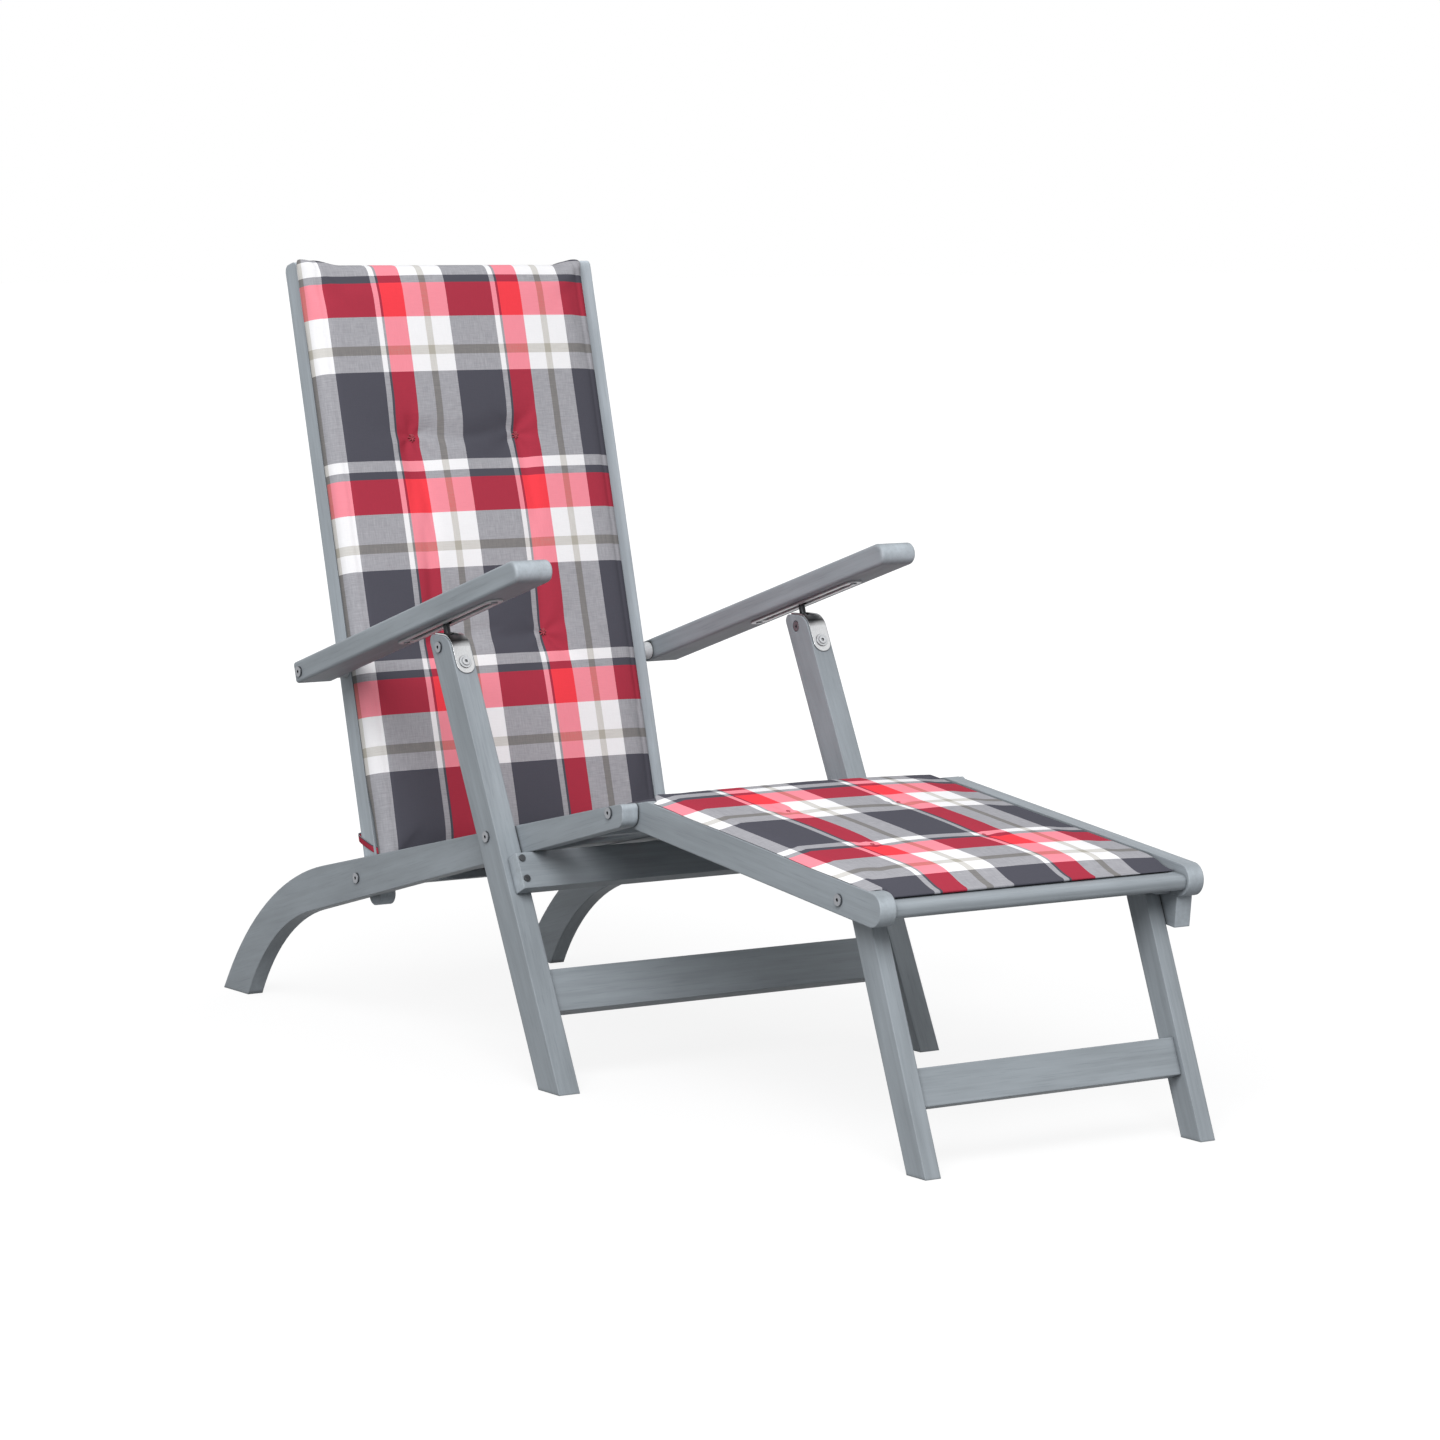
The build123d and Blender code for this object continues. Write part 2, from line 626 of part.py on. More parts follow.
with BuildPart() as front_bar:
    with BuildSketch(side_plane(stile_inner, rest_pivot, rest_angle)) as outline:
        with Locations((sum(front_bar_u) / 2, sum(front_bar_v) / 2)):
            Rectangle(front_bar_u[1] - front_bar_u[0], front_bar_v[1] - front_bar_v[0])
        fillet(outline.vertices().group_by(Axis.X)[-1], front_bar_r)
    extrude(amount=2 * stile_inner)
    with BuildSketch(side_plane(stile_inner, rest_pivot, rest_angle)):
        with Locations((rest_screw_u, (front_bar_v[0] + rest_slat_top) / 2)):
            Rectangle(rest_slat_end - front_bar_u[0], rest_slat_top - front_bar_v[0])
    extrude(amount=2 * stile_inner, mode=Mode.SUBTRACT)
    with BuildSketch(rest_mid.offset(rest_slat_low)):
        with Locations(*[(rest_screw_u, row * rest_slat_pitch) for row in slat_rows]):
            Circle(screw_hole_r)
    extrude(amount=rest_screw_len + run_gap, mode=Mode.SUBTRACT)
finish(front_bar, "footrest_front_bar")

with BuildPart() as rear_bar:
    with BuildSketch(side_plane(stile_inner, rest_pivot, rest_angle)):
        with Locations((sum(rear_bar_u) / 2, (rest_slat_low + rest_slat_top) / 2)):
            Rectangle(rear_bar_u[1] - rear_bar_u[0], rest_slat_t)
    extrude(amount=2 * stile_inner)
finish(rear_bar, "footrest_rear_bar")

for number, row in enumerate(slat_rows, 1):
    with BuildPart() as rest_slat:
        with BuildSketch(rest_mid.offset(rest_slat_top)):
            with Locations(((rear_bar_u[1] + rest_slat_end) / 2, row * rest_slat_pitch)):
                Rectangle(rest_slat_end - rear_bar_u[1], rest_slat_w)
            with Locations((rest_screw_u, row * rest_slat_pitch)):
                Circle(screw_hole_r, mode=Mode.SUBTRACT)
        extrude(amount=-rest_slat_t)
    finish(rest_slat, f"footrest_slat_{number}")

with BuildPart() as rest_screws:
    with BuildSketch(rest_mid.offset(rest_slat_low)):
        with Locations(*[(rest_screw_u, row * rest_slat_pitch) for row in slat_rows]):
            Circle(screw_r)
    extrude(amount=rest_screw_len)
    with BuildSketch(rest_mid.offset(rest_slat_low)):
        with Locations(*[(rest_screw_u, row * rest_slat_pitch) for row in slat_rows]):
            Circle(screw_head_r)
    extrude(amount=-screw_head_t)
finish(rest_screws, "footrest_slat_screws")

# Footrest legs, their stretcher and pivot bolts
for side, sign in sides:
    with BuildPart() as rest_leg:
        with BuildSketch(side_plane(high_y(sign, rest_leg_inner, rest_leg_outer))):
            with BuildLine():
                Polyline(
                    along(rest_leg_pivot, rest_leg_angle, 0, -rest_leg_half_w),
                    (overall_length / 2 - 2 * rest_leg_half_x, 0),
                    (overall_length / 2, 0),
                    along(rest_leg_pivot, rest_leg_angle, 0, rest_leg_half_w),
                    close=True,
                )
            make_face()
            with Locations(rest_leg_pivot):
                Circle(rest_leg_half_w)
                Circle(bolt_hole_r, mode=Mode.SUBTRACT)
        extrude(amount=rest_leg_outer - rest_leg_inner)
    finish(rest_leg, f"footrest_leg_{side}")

rest_stretcher_u = (191.0, 233.0)
rest_stretcher_t = 18.0
with BuildPart() as rest_stretcher:
    with BuildSketch(side_plane(rest_leg_inner, rest_leg_pivot, rest_leg_angle)):
        with Locations((sum(rest_stretcher_u) / 2, 0)):
            Rectangle(rest_stretcher_u[1] - rest_stretcher_u[0], rest_stretcher_t)
    extrude(amount=2 * rest_leg_inner)
finish(rest_stretcher, "footrest_leg_stretcher")

with BuildPart() as rest_leg_bolts:
    for sign in (-1, 1):
        head_y = stile_outer + face_gap + head_t
        nut_y = rest_leg_inner - face_gap - nut_t
        with BuildSketch(side_plane(high_y(sign, nut_y, head_y), rest_leg_pivot)):
            Circle(shank_r)
        extrude(amount=head_y - nut_y)
        with BuildSketch(side_plane(high_y(sign, stile_outer + face_gap, head_y), rest_leg_pivot)):
            Circle(head_r)
        extrude(amount=head_t)
        with BuildSketch(side_plane(high_y(sign, nut_y, nut_y + nut_t), rest_leg_pivot)):
            Circle(nut_r)
        extrude(amount=nut_t)
        with BuildSketch(side_plane(high_y(sign, head_y - socket_depth, head_y), rest_leg_pivot)):
            RegularPolygon(socket_r, 6)
        extrude(amount=socket_depth, mode=Mode.SUBTRACT)
finish(rest_leg_bolts, "footrest_leg_bolts")

# Corner blocks that stop the standing legs, and the block under the left footrest rail
stop_v = (-15.5, -2.0)
stop_front_u = front_bar_u[0]
stop_gap = 0.4
stop_inner = 176.5
leg_on_rail = math.radians(rest_leg_angle - rest_angle)


def leg_front_u(v):
    # Where the front edge of the standing footrest leg crosses a height on the rail
    edge_u = rest_leg_on_rail[0] - rest_leg_half_w * math.sin(leg_on_rail)
    edge_v = rest_leg_on_rail[1] + rest_leg_half_w * math.cos(leg_on_rail)
    return edge_u + (v - edge_v) / math.tan(leg_on_rail) + stop_gap


with BuildPart() as leg_stops:
    for sign in (-1, 1):
        with BuildSketch(
            side_plane(high_y(sign, stop_inner, stile_inner), rest_pivot, rest_angle)
        ):
            with BuildLine():
                Polyline(
                    (leg_front_u(stop_v[1]), stop_v[1]), (leg_front_u(stop_v[0]), stop_v[0]),
                    (stop_front_u, stop_v[0]), (stop_front_u, stop_v[1]), close=True,
                )
            make_face()
        extrude(amount=stile_inner - stop_inner)
finish(leg_stops, "leg_stop_blocks")

block_u = (447.0, 486.0)
block_d = 36.0
with BuildPart() as rail_block:
    with BuildSketch(side_plane(stile_outer, rest_pivot, rest_angle)):
        with Locations((sum(block_u) / 2, rest_low_v - block_d / 2)):
            Rectangle(block_u[1] - block_u[0], block_d)
    extrude(amount=stile_outer - stile_inner)
finish(rail_block, "footrest_rail_block")


def pad_plane(origin, direction, normal, u):
    # Plane across a pad at u along it, local x out of the pad, local y along Y
    place = Vector(origin[0], 0, origin[1]) + Vector(*direction) * u
    return Plane(origin=place, x_dir=normal, z_dir=Vector(*normal).cross(Vector(0, 1, 0)))


# Back and seat pads: flat underneath, round shoulders, a low crown, thin at both ends, sewn tufts
end_run = 26.0
seam_in = 6.0
shoulder_run = 14.0
round_share = 0.7
tuft_r, tuft_depth = 34.0, 9.0
tuft_rows_y = (-104.0, 51.0)
back_pad_s, back_pad_y = (7.0, 777.0), (-219.0, 196.0)
back_pad_ends = (0.4, 0.8)
back_pad_levels = (17.5, 25.0, 42.0, 49.0)
back_tuft_s = (290.0, 552.0)
seat_pad_u, seat_pad_y = (-352.0, 195.0), (-195.0, 195.0)
seat_pad_ends = (0.4, 0.4)
seat_pad_levels = (-15.5, -9.0, 1.0, 10.0)
seat_tuft_u = (-200.0, 60.0)
back_front = (math.sin(turn_back), 0, -math.cos(turn_back))
thick_pads = (
    (
        "back_pad", back_pivot, back_dir, back_front,
        back_pad_s, back_pad_ends, back_pad_y, back_pad_levels, back_tuft_s,
    ),
    (
        "seat_pad", seat_origin, tuple(seat_top.x_dir), tuple(seat_top.z_dir),
        seat_pad_u, seat_pad_ends, seat_pad_y, seat_pad_levels, seat_tuft_u,
    ),
)
for name, origin, direction, normal, span, ends, width, levels, tuft_rows in thick_pads:
    flat = levels[0]
    low, high = width
    side_in = (1 - round_share) * shoulder_run
    with BuildPart() as pad:
        for u, share in (
            (span[0], ends[0]), (span[0] + end_run, 1.0), (span[1] - end_run, 1.0), (span[1], ends[1]),
        ):
            seam, shoulder, crown = [flat + share * (level - flat) for level in levels[1:]]
            bulge = seam + round_share * (shoulder - seam)
            with BuildSketch(pad_plane(origin, direction, normal, u)):
                with BuildLine():
                    Polyline((seam, low), (flat, low + seam_in), (flat, high - seam_in), (seam, high))
                    ThreePointArc((seam, high), (bulge, high - side_in), (shoulder, high - shoulder_run))
                    ThreePointArc(
                        (shoulder, high - shoulder_run),
                        (crown, (low + high) / 2),
                        (shoulder, low + shoulder_run),
                    )
                    ThreePointArc((shoulder, low + shoulder_run), (bulge, low + side_in), (seam, low))
                make_face()
        loft(ruled=True)
        for u in tuft_rows:
            for y in tuft_rows_y:
                rise = Vector(*normal) * (levels[-1] + tuft_r - tuft_depth)
                with Locations(pad_plane(origin, direction, normal, u).origin + rise + Vector(0, y, 0)):
                    Sphere(tuft_r, mode=Mode.SUBTRACT)
    finish(pad, name)

# Footrest pad: sunk between the rails, lapped over the top of the right rail and over the front bar
rest_dir, rest_normal = tuple(rest_mid.x_dir), tuple(rest_mid.z_dir)
rest_pad_u, rest_pad_y = (18.0, 481.0), (-217.0, 195.5)
rest_pad_gap = 0.4
rest_belly = rest_slat_top + rest_pad_gap
rest_over_bar = front_bar_v[1] + rest_pad_gap
rest_lap = rest_top_v + rest_pad_gap
rest_rim = 16.4
rest_belly_half, rest_rim_half = 162.0, 173.0
rest_lap_y = (-196.3, -194.3)
rest_rim_rise, rest_lap_rise, rest_crown_rise = 3.0, 4.5, 11.0
rest_tuft_u = (150.0, 315.0)
rest_rear_thin, rest_bar_thin, rest_front_thin = 0.4, 0.7, 0.28
over_bar_u = front_bar_u[0] - 1.0
with BuildPart() as rest_pad:
    low, high = rest_pad_y
    for u, belly, share in (
        (rest_pad_u[0], rest_belly, rest_rear_thin), (rest_pad_u[0] + end_run, rest_belly, 1.0),
        (over_bar_u - end_run, rest_belly, 1.0), (over_bar_u, rest_over_bar, rest_bar_thin),
        (rest_pad_u[1], rest_over_bar, rest_front_thin),
    ):
        lap_edge = rest_lap + share * rest_lap_rise
        rim_edge = rest_rim + share * rest_rim_rise
        crown = rest_rim + share * rest_crown_rise
        with BuildSketch(pad_plane(rest_pivot, rest_dir, rest_normal, u)):
            with BuildLine():
                Polyline(
                    (lap_edge, low), (rest_lap, low), (rest_lap, rest_lap_y[0]), (rest_rim, rest_lap_y[1]),
                    (rest_rim, -rest_rim_half), (belly, -rest_belly_half), (belly, rest_belly_half),
                    (rest_rim, rest_rim_half), (rest_rim, high), (rim_edge, high),
                )
                ThreePointArc((rim_edge, high), (crown, (low + high) / 2), (lap_edge, low))
            make_face()
    loft(ruled=True)
    for u in rest_tuft_u:
        for y in tuft_rows_y:
            rise = Vector(*rest_normal) * (rest_rim + rest_crown_rise + tuft_r - tuft_depth)
            with Locations(pad_plane(rest_pivot, rest_dir, rest_normal, u).origin + rise + Vector(0, y, 0)):
                Sphere(tuft_r, mode=Mode.SUBTRACT)
finish(rest_pad, "footrest_pad")

# Hood of cloth over the top of the back, hanging down behind it
hood_t = 2.5
hood_half = 190.0
hood_top_s = 774.5
hood_low_s = 560.0
hood_front_v = -17.2
hood_gap = 1.0
hood_back_v = back_bar_rear + screw_head_t + hood_gap
hood_r = 8.0
with BuildPart() as hood:
    with BuildSketch(side_plane(hood_half, back_pivot, stile_angle)) as outline:
        with BuildLine():
            Polyline(
                (hood_top_s, hood_front_v), (hood_top_s, hood_back_v), (hood_low_s, hood_back_v),
                (hood_low_s, hood_back_v + hood_t), (hood_top_s + hood_t, hood_back_v + hood_t),
                (hood_top_s + hood_t, hood_front_v), close=True,
            )
        make_face()
        fillet(nearest(outline.sketch_local, (hood_top_s, hood_back_v)), hood_r)
        fillet(nearest(outline.sketch_local, (hood_top_s + hood_t, hood_back_v + hood_t)), hood_r + hood_t)
    extrude(amount=2 * hood_half)
finish(hood, "pad_hood")

# Tie loops of flat cloth tape round the stiles, slack behind
tape_t = 1.0
tape_w = 10.0
tie_s = 42.0
tie_slack = 9.0
tie_gap = 0.05
tie_y_in = stile_inner - tie_gap - tape_t
tie_y_out = stile_outer + tie_gap + tape_t
tie_front = -stile_half_w - tie_gap - tape_t
tie_rear = stile_half_w + tie_slack
tie_plane = Plane(
    origin=pad_plane(back_pivot, back_dir, back_rear, tie_s).origin, x_dir=back_rear, z_dir=back_dir
)
with BuildPart() as ties:
    for sign in (-1, 1):
        with BuildSketch(tie_plane):
            with Locations(((tie_front + tie_rear) / 2, -sign * (tie_y_in + tie_y_out) / 2)):
                Rectangle(tie_rear - tie_front, tie_y_out - tie_y_in)
                Rectangle(
                    tie_rear - tie_front - 2 * tape_t, tie_y_out - tie_y_in - 2 * tape_t, mode=Mode.SUBTRACT
                )
        extrude(amount=tape_w)
finish(ties, "pad_ties")
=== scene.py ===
import math

import bmesh
import bpy
import numpy as np
from mathutils import Matrix, Vector


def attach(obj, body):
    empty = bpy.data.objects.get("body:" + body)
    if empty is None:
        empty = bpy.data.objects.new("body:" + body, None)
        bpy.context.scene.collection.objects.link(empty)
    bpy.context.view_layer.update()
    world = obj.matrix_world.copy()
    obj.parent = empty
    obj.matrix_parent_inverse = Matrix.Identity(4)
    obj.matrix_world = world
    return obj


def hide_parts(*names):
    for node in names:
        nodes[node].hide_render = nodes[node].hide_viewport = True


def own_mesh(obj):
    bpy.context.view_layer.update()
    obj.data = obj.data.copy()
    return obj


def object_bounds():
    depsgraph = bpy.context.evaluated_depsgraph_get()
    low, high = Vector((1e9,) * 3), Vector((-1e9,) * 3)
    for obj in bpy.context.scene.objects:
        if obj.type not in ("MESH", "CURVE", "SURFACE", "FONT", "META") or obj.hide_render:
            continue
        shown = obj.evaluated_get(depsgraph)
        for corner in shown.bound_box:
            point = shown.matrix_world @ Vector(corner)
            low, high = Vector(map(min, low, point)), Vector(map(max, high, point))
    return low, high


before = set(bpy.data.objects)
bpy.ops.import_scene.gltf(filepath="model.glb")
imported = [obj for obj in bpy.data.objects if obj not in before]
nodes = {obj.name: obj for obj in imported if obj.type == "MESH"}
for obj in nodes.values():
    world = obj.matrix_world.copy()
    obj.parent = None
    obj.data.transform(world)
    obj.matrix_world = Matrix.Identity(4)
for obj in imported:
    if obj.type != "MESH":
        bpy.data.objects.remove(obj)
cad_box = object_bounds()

scene = bpy.context.scene

# The frames of the three pads, in metres. Each runs from the head end to the foot end, and its
# height axis points out of the face that is sat or lain on.
back_pivot = Vector((-0.3915, 0.0, 0.188))
back_angle = math.radians(104.87)
seat_origin = Vector((0.0, 0.0, 0.29698))
seat_angle = math.radians(12.2)
rest_pivot = Vector((0.2015, 0.0, 0.333))
rest_angle = math.radians(-6.6)

# Plaid, in metres: the widths of the stripes across the pads and along them, in their order.
across_stripes = (
    ("charcoal", 0.067), ("white", 0.0075), ("charcoal", 0.0035), ("red", 0.0325),
    ("white", 0.0255), ("taupe", 0.0095), ("white", 0.0275),
)
along_stripes = (
    ("red", 0.044), ("white", 0.038), ("taupe", 0.012), ("white", 0.022),
    ("charcoal", 0.114), ("white", 0.014), ("charcoal", 0.010),
)
across_start = -0.199
back_plaid_shift = 0.748
seat_plaid_shift = -0.277
rest_plaid_shift = -0.074

# Colours of the yarns alone and where two of them cross, as a screen shows them.
yarn_colours = {
    "charcoal": (0.335, 0.335, 0.370),
    "white": (0.975, 0.975, 0.985),
    "red": (0.985, 0.285, 0.325),
    "taupe": (0.715, 0.700, 0.660),
}
crossing_colours = (
    ("red", "charcoal", (0.690, 0.225, 0.295)),
    ("red", "white", (0.985, 0.575, 0.635)),
)
display_gamma = 2.2
crossing_share = 0.85

# Swelling of the pads: length of the simulation and pressure of the filling.
swell_frames = 20
cloth_pressure = 4.0

# Wood, scaled along the grain and twice across it, with the radius of the eased edges.
streak_scale = (5.0, 210.0, 210.0)
pore_scale = (26.0, 900.0, 900.0)
wash_scale = (9.0, 48.0, 48.0)
wood_dark = (0.283, 0.315, 0.343)
wood_middle = (0.310, 0.345, 0.376)
wood_pale = (0.333, 0.371, 0.404)
wood_edge = 0.0022
# Painted highlight: factors by which the eased edges and the ends of the boards are painted lighter.
edge_highlight_tone = 1.24
end_highlight_tone = 1.38
steel_edge = 0.0006
plain = (1.0, 1.0, 1.0)


def pad_frame(origin, angle):
    """Matrix of a pad's own axes: along, across (+Y) and height."""
    along = Vector((math.cos(angle), 0.0, math.sin(angle)))
    across = Vector((0.0, 1.0, 0.0))
    height = along.cross(across)
    turn = Matrix((along, across, height)).transposed().to_4x4()
    return Matrix.Translation(origin) @ turn


back_frame = pad_frame(back_pivot, back_angle + math.pi)
seat_frame = pad_frame(seat_origin, seat_angle)
rest_frame = pad_frame(rest_pivot, rest_angle)


class Tree:
    """Short calls for building one material's nodes."""

    def __init__(self, name):
        self.material = bpy.data.materials.new(name)
        self.material.use_nodes = True
        self.tree = self.material.node_tree
        self.shader = self.tree.nodes["Principled BSDF"]

    def node(self, kind, inputs=None, **settings):
        made = self.tree.nodes.new(kind)
        for key, value in settings.items():
            setattr(made, key, value)
        for key, value in (inputs or {}).items():
            if isinstance(value, bpy.types.NodeSocket):
                self.tree.links.new(value, made.inputs[key])
            else:
                made.inputs[key].default_value = value
        return made

    def math(self, operation, a, b=0.0, c=0.0):
        return self.node("ShaderNodeMath", {0: a, 1: b, 2: c}, operation=operation).outputs[0]

    def ramp(self, factor, stops, interpolation="LINEAR"):
        made = self.node("ShaderNodeValToRGB", {"Fac": factor})
        made.color_ramp.interpolation = interpolation
        elements = made.color_ramp.elements
        while len(elements) < len(stops):
            elements.new(1.0)
        for element, (place, colour) in zip(elements, stops):
            element.position = place
            element.color = (*colour, 1.0)
        return made.outputs["Color"]

    def mix(self, factor, a, b, blend="MIX"):
        made = self.node("ShaderNodeMix", data_type="RGBA", blend_type=blend)
        for socket, value in ((made.inputs[0], factor), (made.inputs[6], a), (made.inputs[7], b)):
            if isinstance(value, bpy.types.NodeSocket):
                self.tree.links.new(value, socket)
            else:
                socket.default_value = value
        return made.outputs[2]

    def stretched(self, vector, scale):
        return self.node("ShaderNodeMapping", {"Vector": vector, "Scale": scale}).outputs["Vector"]

    def noise(self, vector, scale, detail, roughness):
        made = self.node("ShaderNodeTexNoise", {
            "Vector": vector, "Scale": scale, "Detail": detail, "Roughness": roughness,
        })
        return made.outputs["Fac"]

    def bump(self, height, strength, distance, normal=None):
        made = self.node("ShaderNodeBump", {
            "Height": height, "Strength": strength, "Distance": distance,
        })
        if normal is not None:
            self.tree.links.new(normal, made.inputs["Normal"])
        self.link(made.outputs["Normal"], "Normal")

    def eased(self, radius):
        """Normal that runs round an eased edge, and how near to an edge a point lies."""
        soft = self.node("ShaderNodeBevel", {"Radius": radius}, samples=4).outputs["Normal"]
        face = self.node("ShaderNodeNewGeometry").outputs["Normal"]
        same = self.node("ShaderNodeVectorMath", {0: soft, 1: face}, operation="DOT_PRODUCT")
        return soft, self.math("SUBTRACT", 1.0, same.outputs["Value"])

    def hollow(self, distance):
        """1 on open faces, falling to 0 in recesses."""
        made = self.node("ShaderNodeAmbientOcclusion", {"Distance": distance}, samples=8)
        return made.outputs["AO"]

    def link(self, output, name):
        self.tree.links.new(output, self.shader.inputs[name])

    def set(self, **values):
        for name, value in values.items():
            self.shader.inputs[name.replace("_", " ")].default_value = value


def even(shade):
    return (shade, shade, shade)


def grain_axis(node):
    """Direction of a board's length, from the spread of its corners."""
    corners = np.array([vertex.co for vertex in nodes[node].data.vertices])
    spread = np.cov((corners - corners.mean(axis=0)).T)
    return Vector(np.linalg.eigh(spread)[1][:, -1])


def grey_wood(node, number, painted_light, shade_reach, shade_stops):
    """Grey-washed hardwood with straight grain, painted highlights on its edges and ends, painted light
    per board and painted shade in its joints.
    """
    tree = Tree("wood_" + node)
    axis = grain_axis(node)
    place = tree.node("ShaderNodeTexCoord").outputs["Object"]
    turn = axis.to_track_quat("X", "Z").inverted().to_euler()
    board = tree.node("ShaderNodeMapping", {
        "Vector": place, "Rotation": turn, "Location": (0.37 * number, 0.11 * number, 0.0),
    }).outputs["Vector"]
    streak = tree.noise(tree.stretched(board, streak_scale), 1.0, 4.0, 0.55)
    pore = tree.noise(tree.stretched(board, pore_scale), 1.0, 2.0, 0.5)
    cloud = tree.noise(tree.stretched(board, wash_scale), 1.0, 3.0, 0.5)
    base = tree.ramp(streak, ((0.30, wood_dark), (0.52, wood_middle), (0.74, wood_pale)))
    washed = tree.ramp(cloud, ((0.30, even(0.90)), (0.70, even(1.08))))
    dark_pores = tree.ramp(pore, ((0.30, (0.88, 0.885, 0.89)), (0.42, plain)))
    colour = tree.mix(1.0, tree.mix(1.0, base, washed, "MULTIPLY"), dark_pores, "MULTIPLY")
    soft, near_edge = tree.eased(wood_edge)
    # Painted highlight: the colour is painted lighter along each eased edge.
    edge_highlight = tree.ramp(near_edge, ((0.0, plain), (0.10, even(edge_highlight_tone))))
    colour = tree.mix(1.0, colour, edge_highlight, "MULTIPLY")
    # Painted highlight: faces across the grain, at the ends of the boards, are painted lighter, on top of
    # the board's painted light.
    across_grain = tree.node("ShaderNodeVectorMath", {0: soft, 1: axis}, operation="DOT_PRODUCT")
    end = tree.math("ABSOLUTE", across_grain.outputs["Value"])
    end_highlight = tree.ramp(end, ((0.45, even(painted_light)), (0.85, even(end_highlight_tone * painted_light))))
    colour = tree.mix(1.0, colour, end_highlight, "MULTIPLY")
    # Painted shade: the colour darkens where ambient occlusion finds a recess, in the joints between
    # boards and under the armrests.
    painted_shade_stops = [(openness, even(shade)) for openness, shade in shade_stops]
    painted_joint_shade = tree.ramp(tree.hollow(shade_reach), painted_shade_stops)
    tree.link(tree.mix(1.0, colour, painted_joint_shade, "MULTIPLY"), "Base Color")
    tree.link(tree.math("MULTIPLY_ADD", streak, 0.20, 0.50), "Roughness")
    tree.set(Specular_IOR_Level=0.35)
    tree.bump(tree.math("ADD", streak, tree.math("MULTIPLY", pore, 0.6)), 0.14, 0.0004, soft)
    return tree.material


def metal(name, colour, roughness, scratch, painted_reflection=1.0, shine=1.0):
    """Polished or blackened steel with faint rubbing marks, painted shade in its recesses and a painted
    dark reflection on its upper bends.
    """
    tree = Tree(name)
    place = tree.node("ShaderNodeTexCoord").outputs["Object"]
    rub = tree.noise(tree.stretched(place, (260.0, 260.0, 40.0)), 4.0, 4.0, 0.6)
    light = tuple(min(1.0, channel * 1.08) for channel in colour)
    dark = tuple(channel * 0.86 for channel in colour)
    rubbed = tree.ramp(rub, ((0.3, dark), (0.7, light)))
    # Painted shade in the sockets and other recesses, from ambient occlusion.
    painted_recess_shade = tree.ramp(tree.hollow(0.005), ((0.35, (0.05, 0.05, 0.055)), (0.85, plain)))
    # Painted reflection: faces turned partly upward are darkened, as if they mirrored something dark
    # above.
    face = tree.node("ShaderNodeNewGeometry").outputs["Normal"]
    upward = tree.node("ShaderNodeSeparateXYZ", {0: face}).outputs[2]
    painted_reflection_ramp = tree.ramp(upward, ((0.46, plain), (0.72, even(painted_reflection)), (0.97, even(0.8))))
    shaded = tree.mix(1.0, rubbed, painted_reflection_ramp, "MULTIPLY")
    tree.link(tree.mix(1.0, shaded, painted_recess_shade, "MULTIPLY"), "Base Color")
    tree.link(tree.math("MULTIPLY_ADD", rub, scratch, roughness), "Roughness")
    tree.set(Metallic=shine)
    soft, _ = tree.eased(steel_edge)
    tree.bump(rub, 0.05, 0.0002, soft)
    return tree.material


def pale_plastic():
    """Moulded nylon of the spacers."""
    tree = Tree("spacer_nylon")
    place = tree.node("ShaderNodeTexCoord").outputs["Object"]
    grain = tree.noise(place, 420.0, 3.0, 0.5)
    tree.link(tree.ramp(grain, ((0.3, (0.56, 0.58, 0.60)), (0.7, (0.66, 0.68, 0.70)))), "Base Color")
    tree.set(Roughness=0.42)
    tree.bump(grain, 0.08, 0.0002)
    return tree.material


def stripe_stops(stripes, shades):
    """Ramp stops of one repeat of stripes, each with the shade that is given for its yarn."""
    total = sum(width for _, width in stripes)
    stops, place = [], 0.0
    for yarn, width in stripes:
        stops.append((place / total, shades[yarn]))
        place += width
    return stops


def only(wanted):
    """Shades that mark one yarn and leave the others out."""
    return {yarn: even(1.0 if yarn == wanted else 0.0) for yarn in yarn_colours}


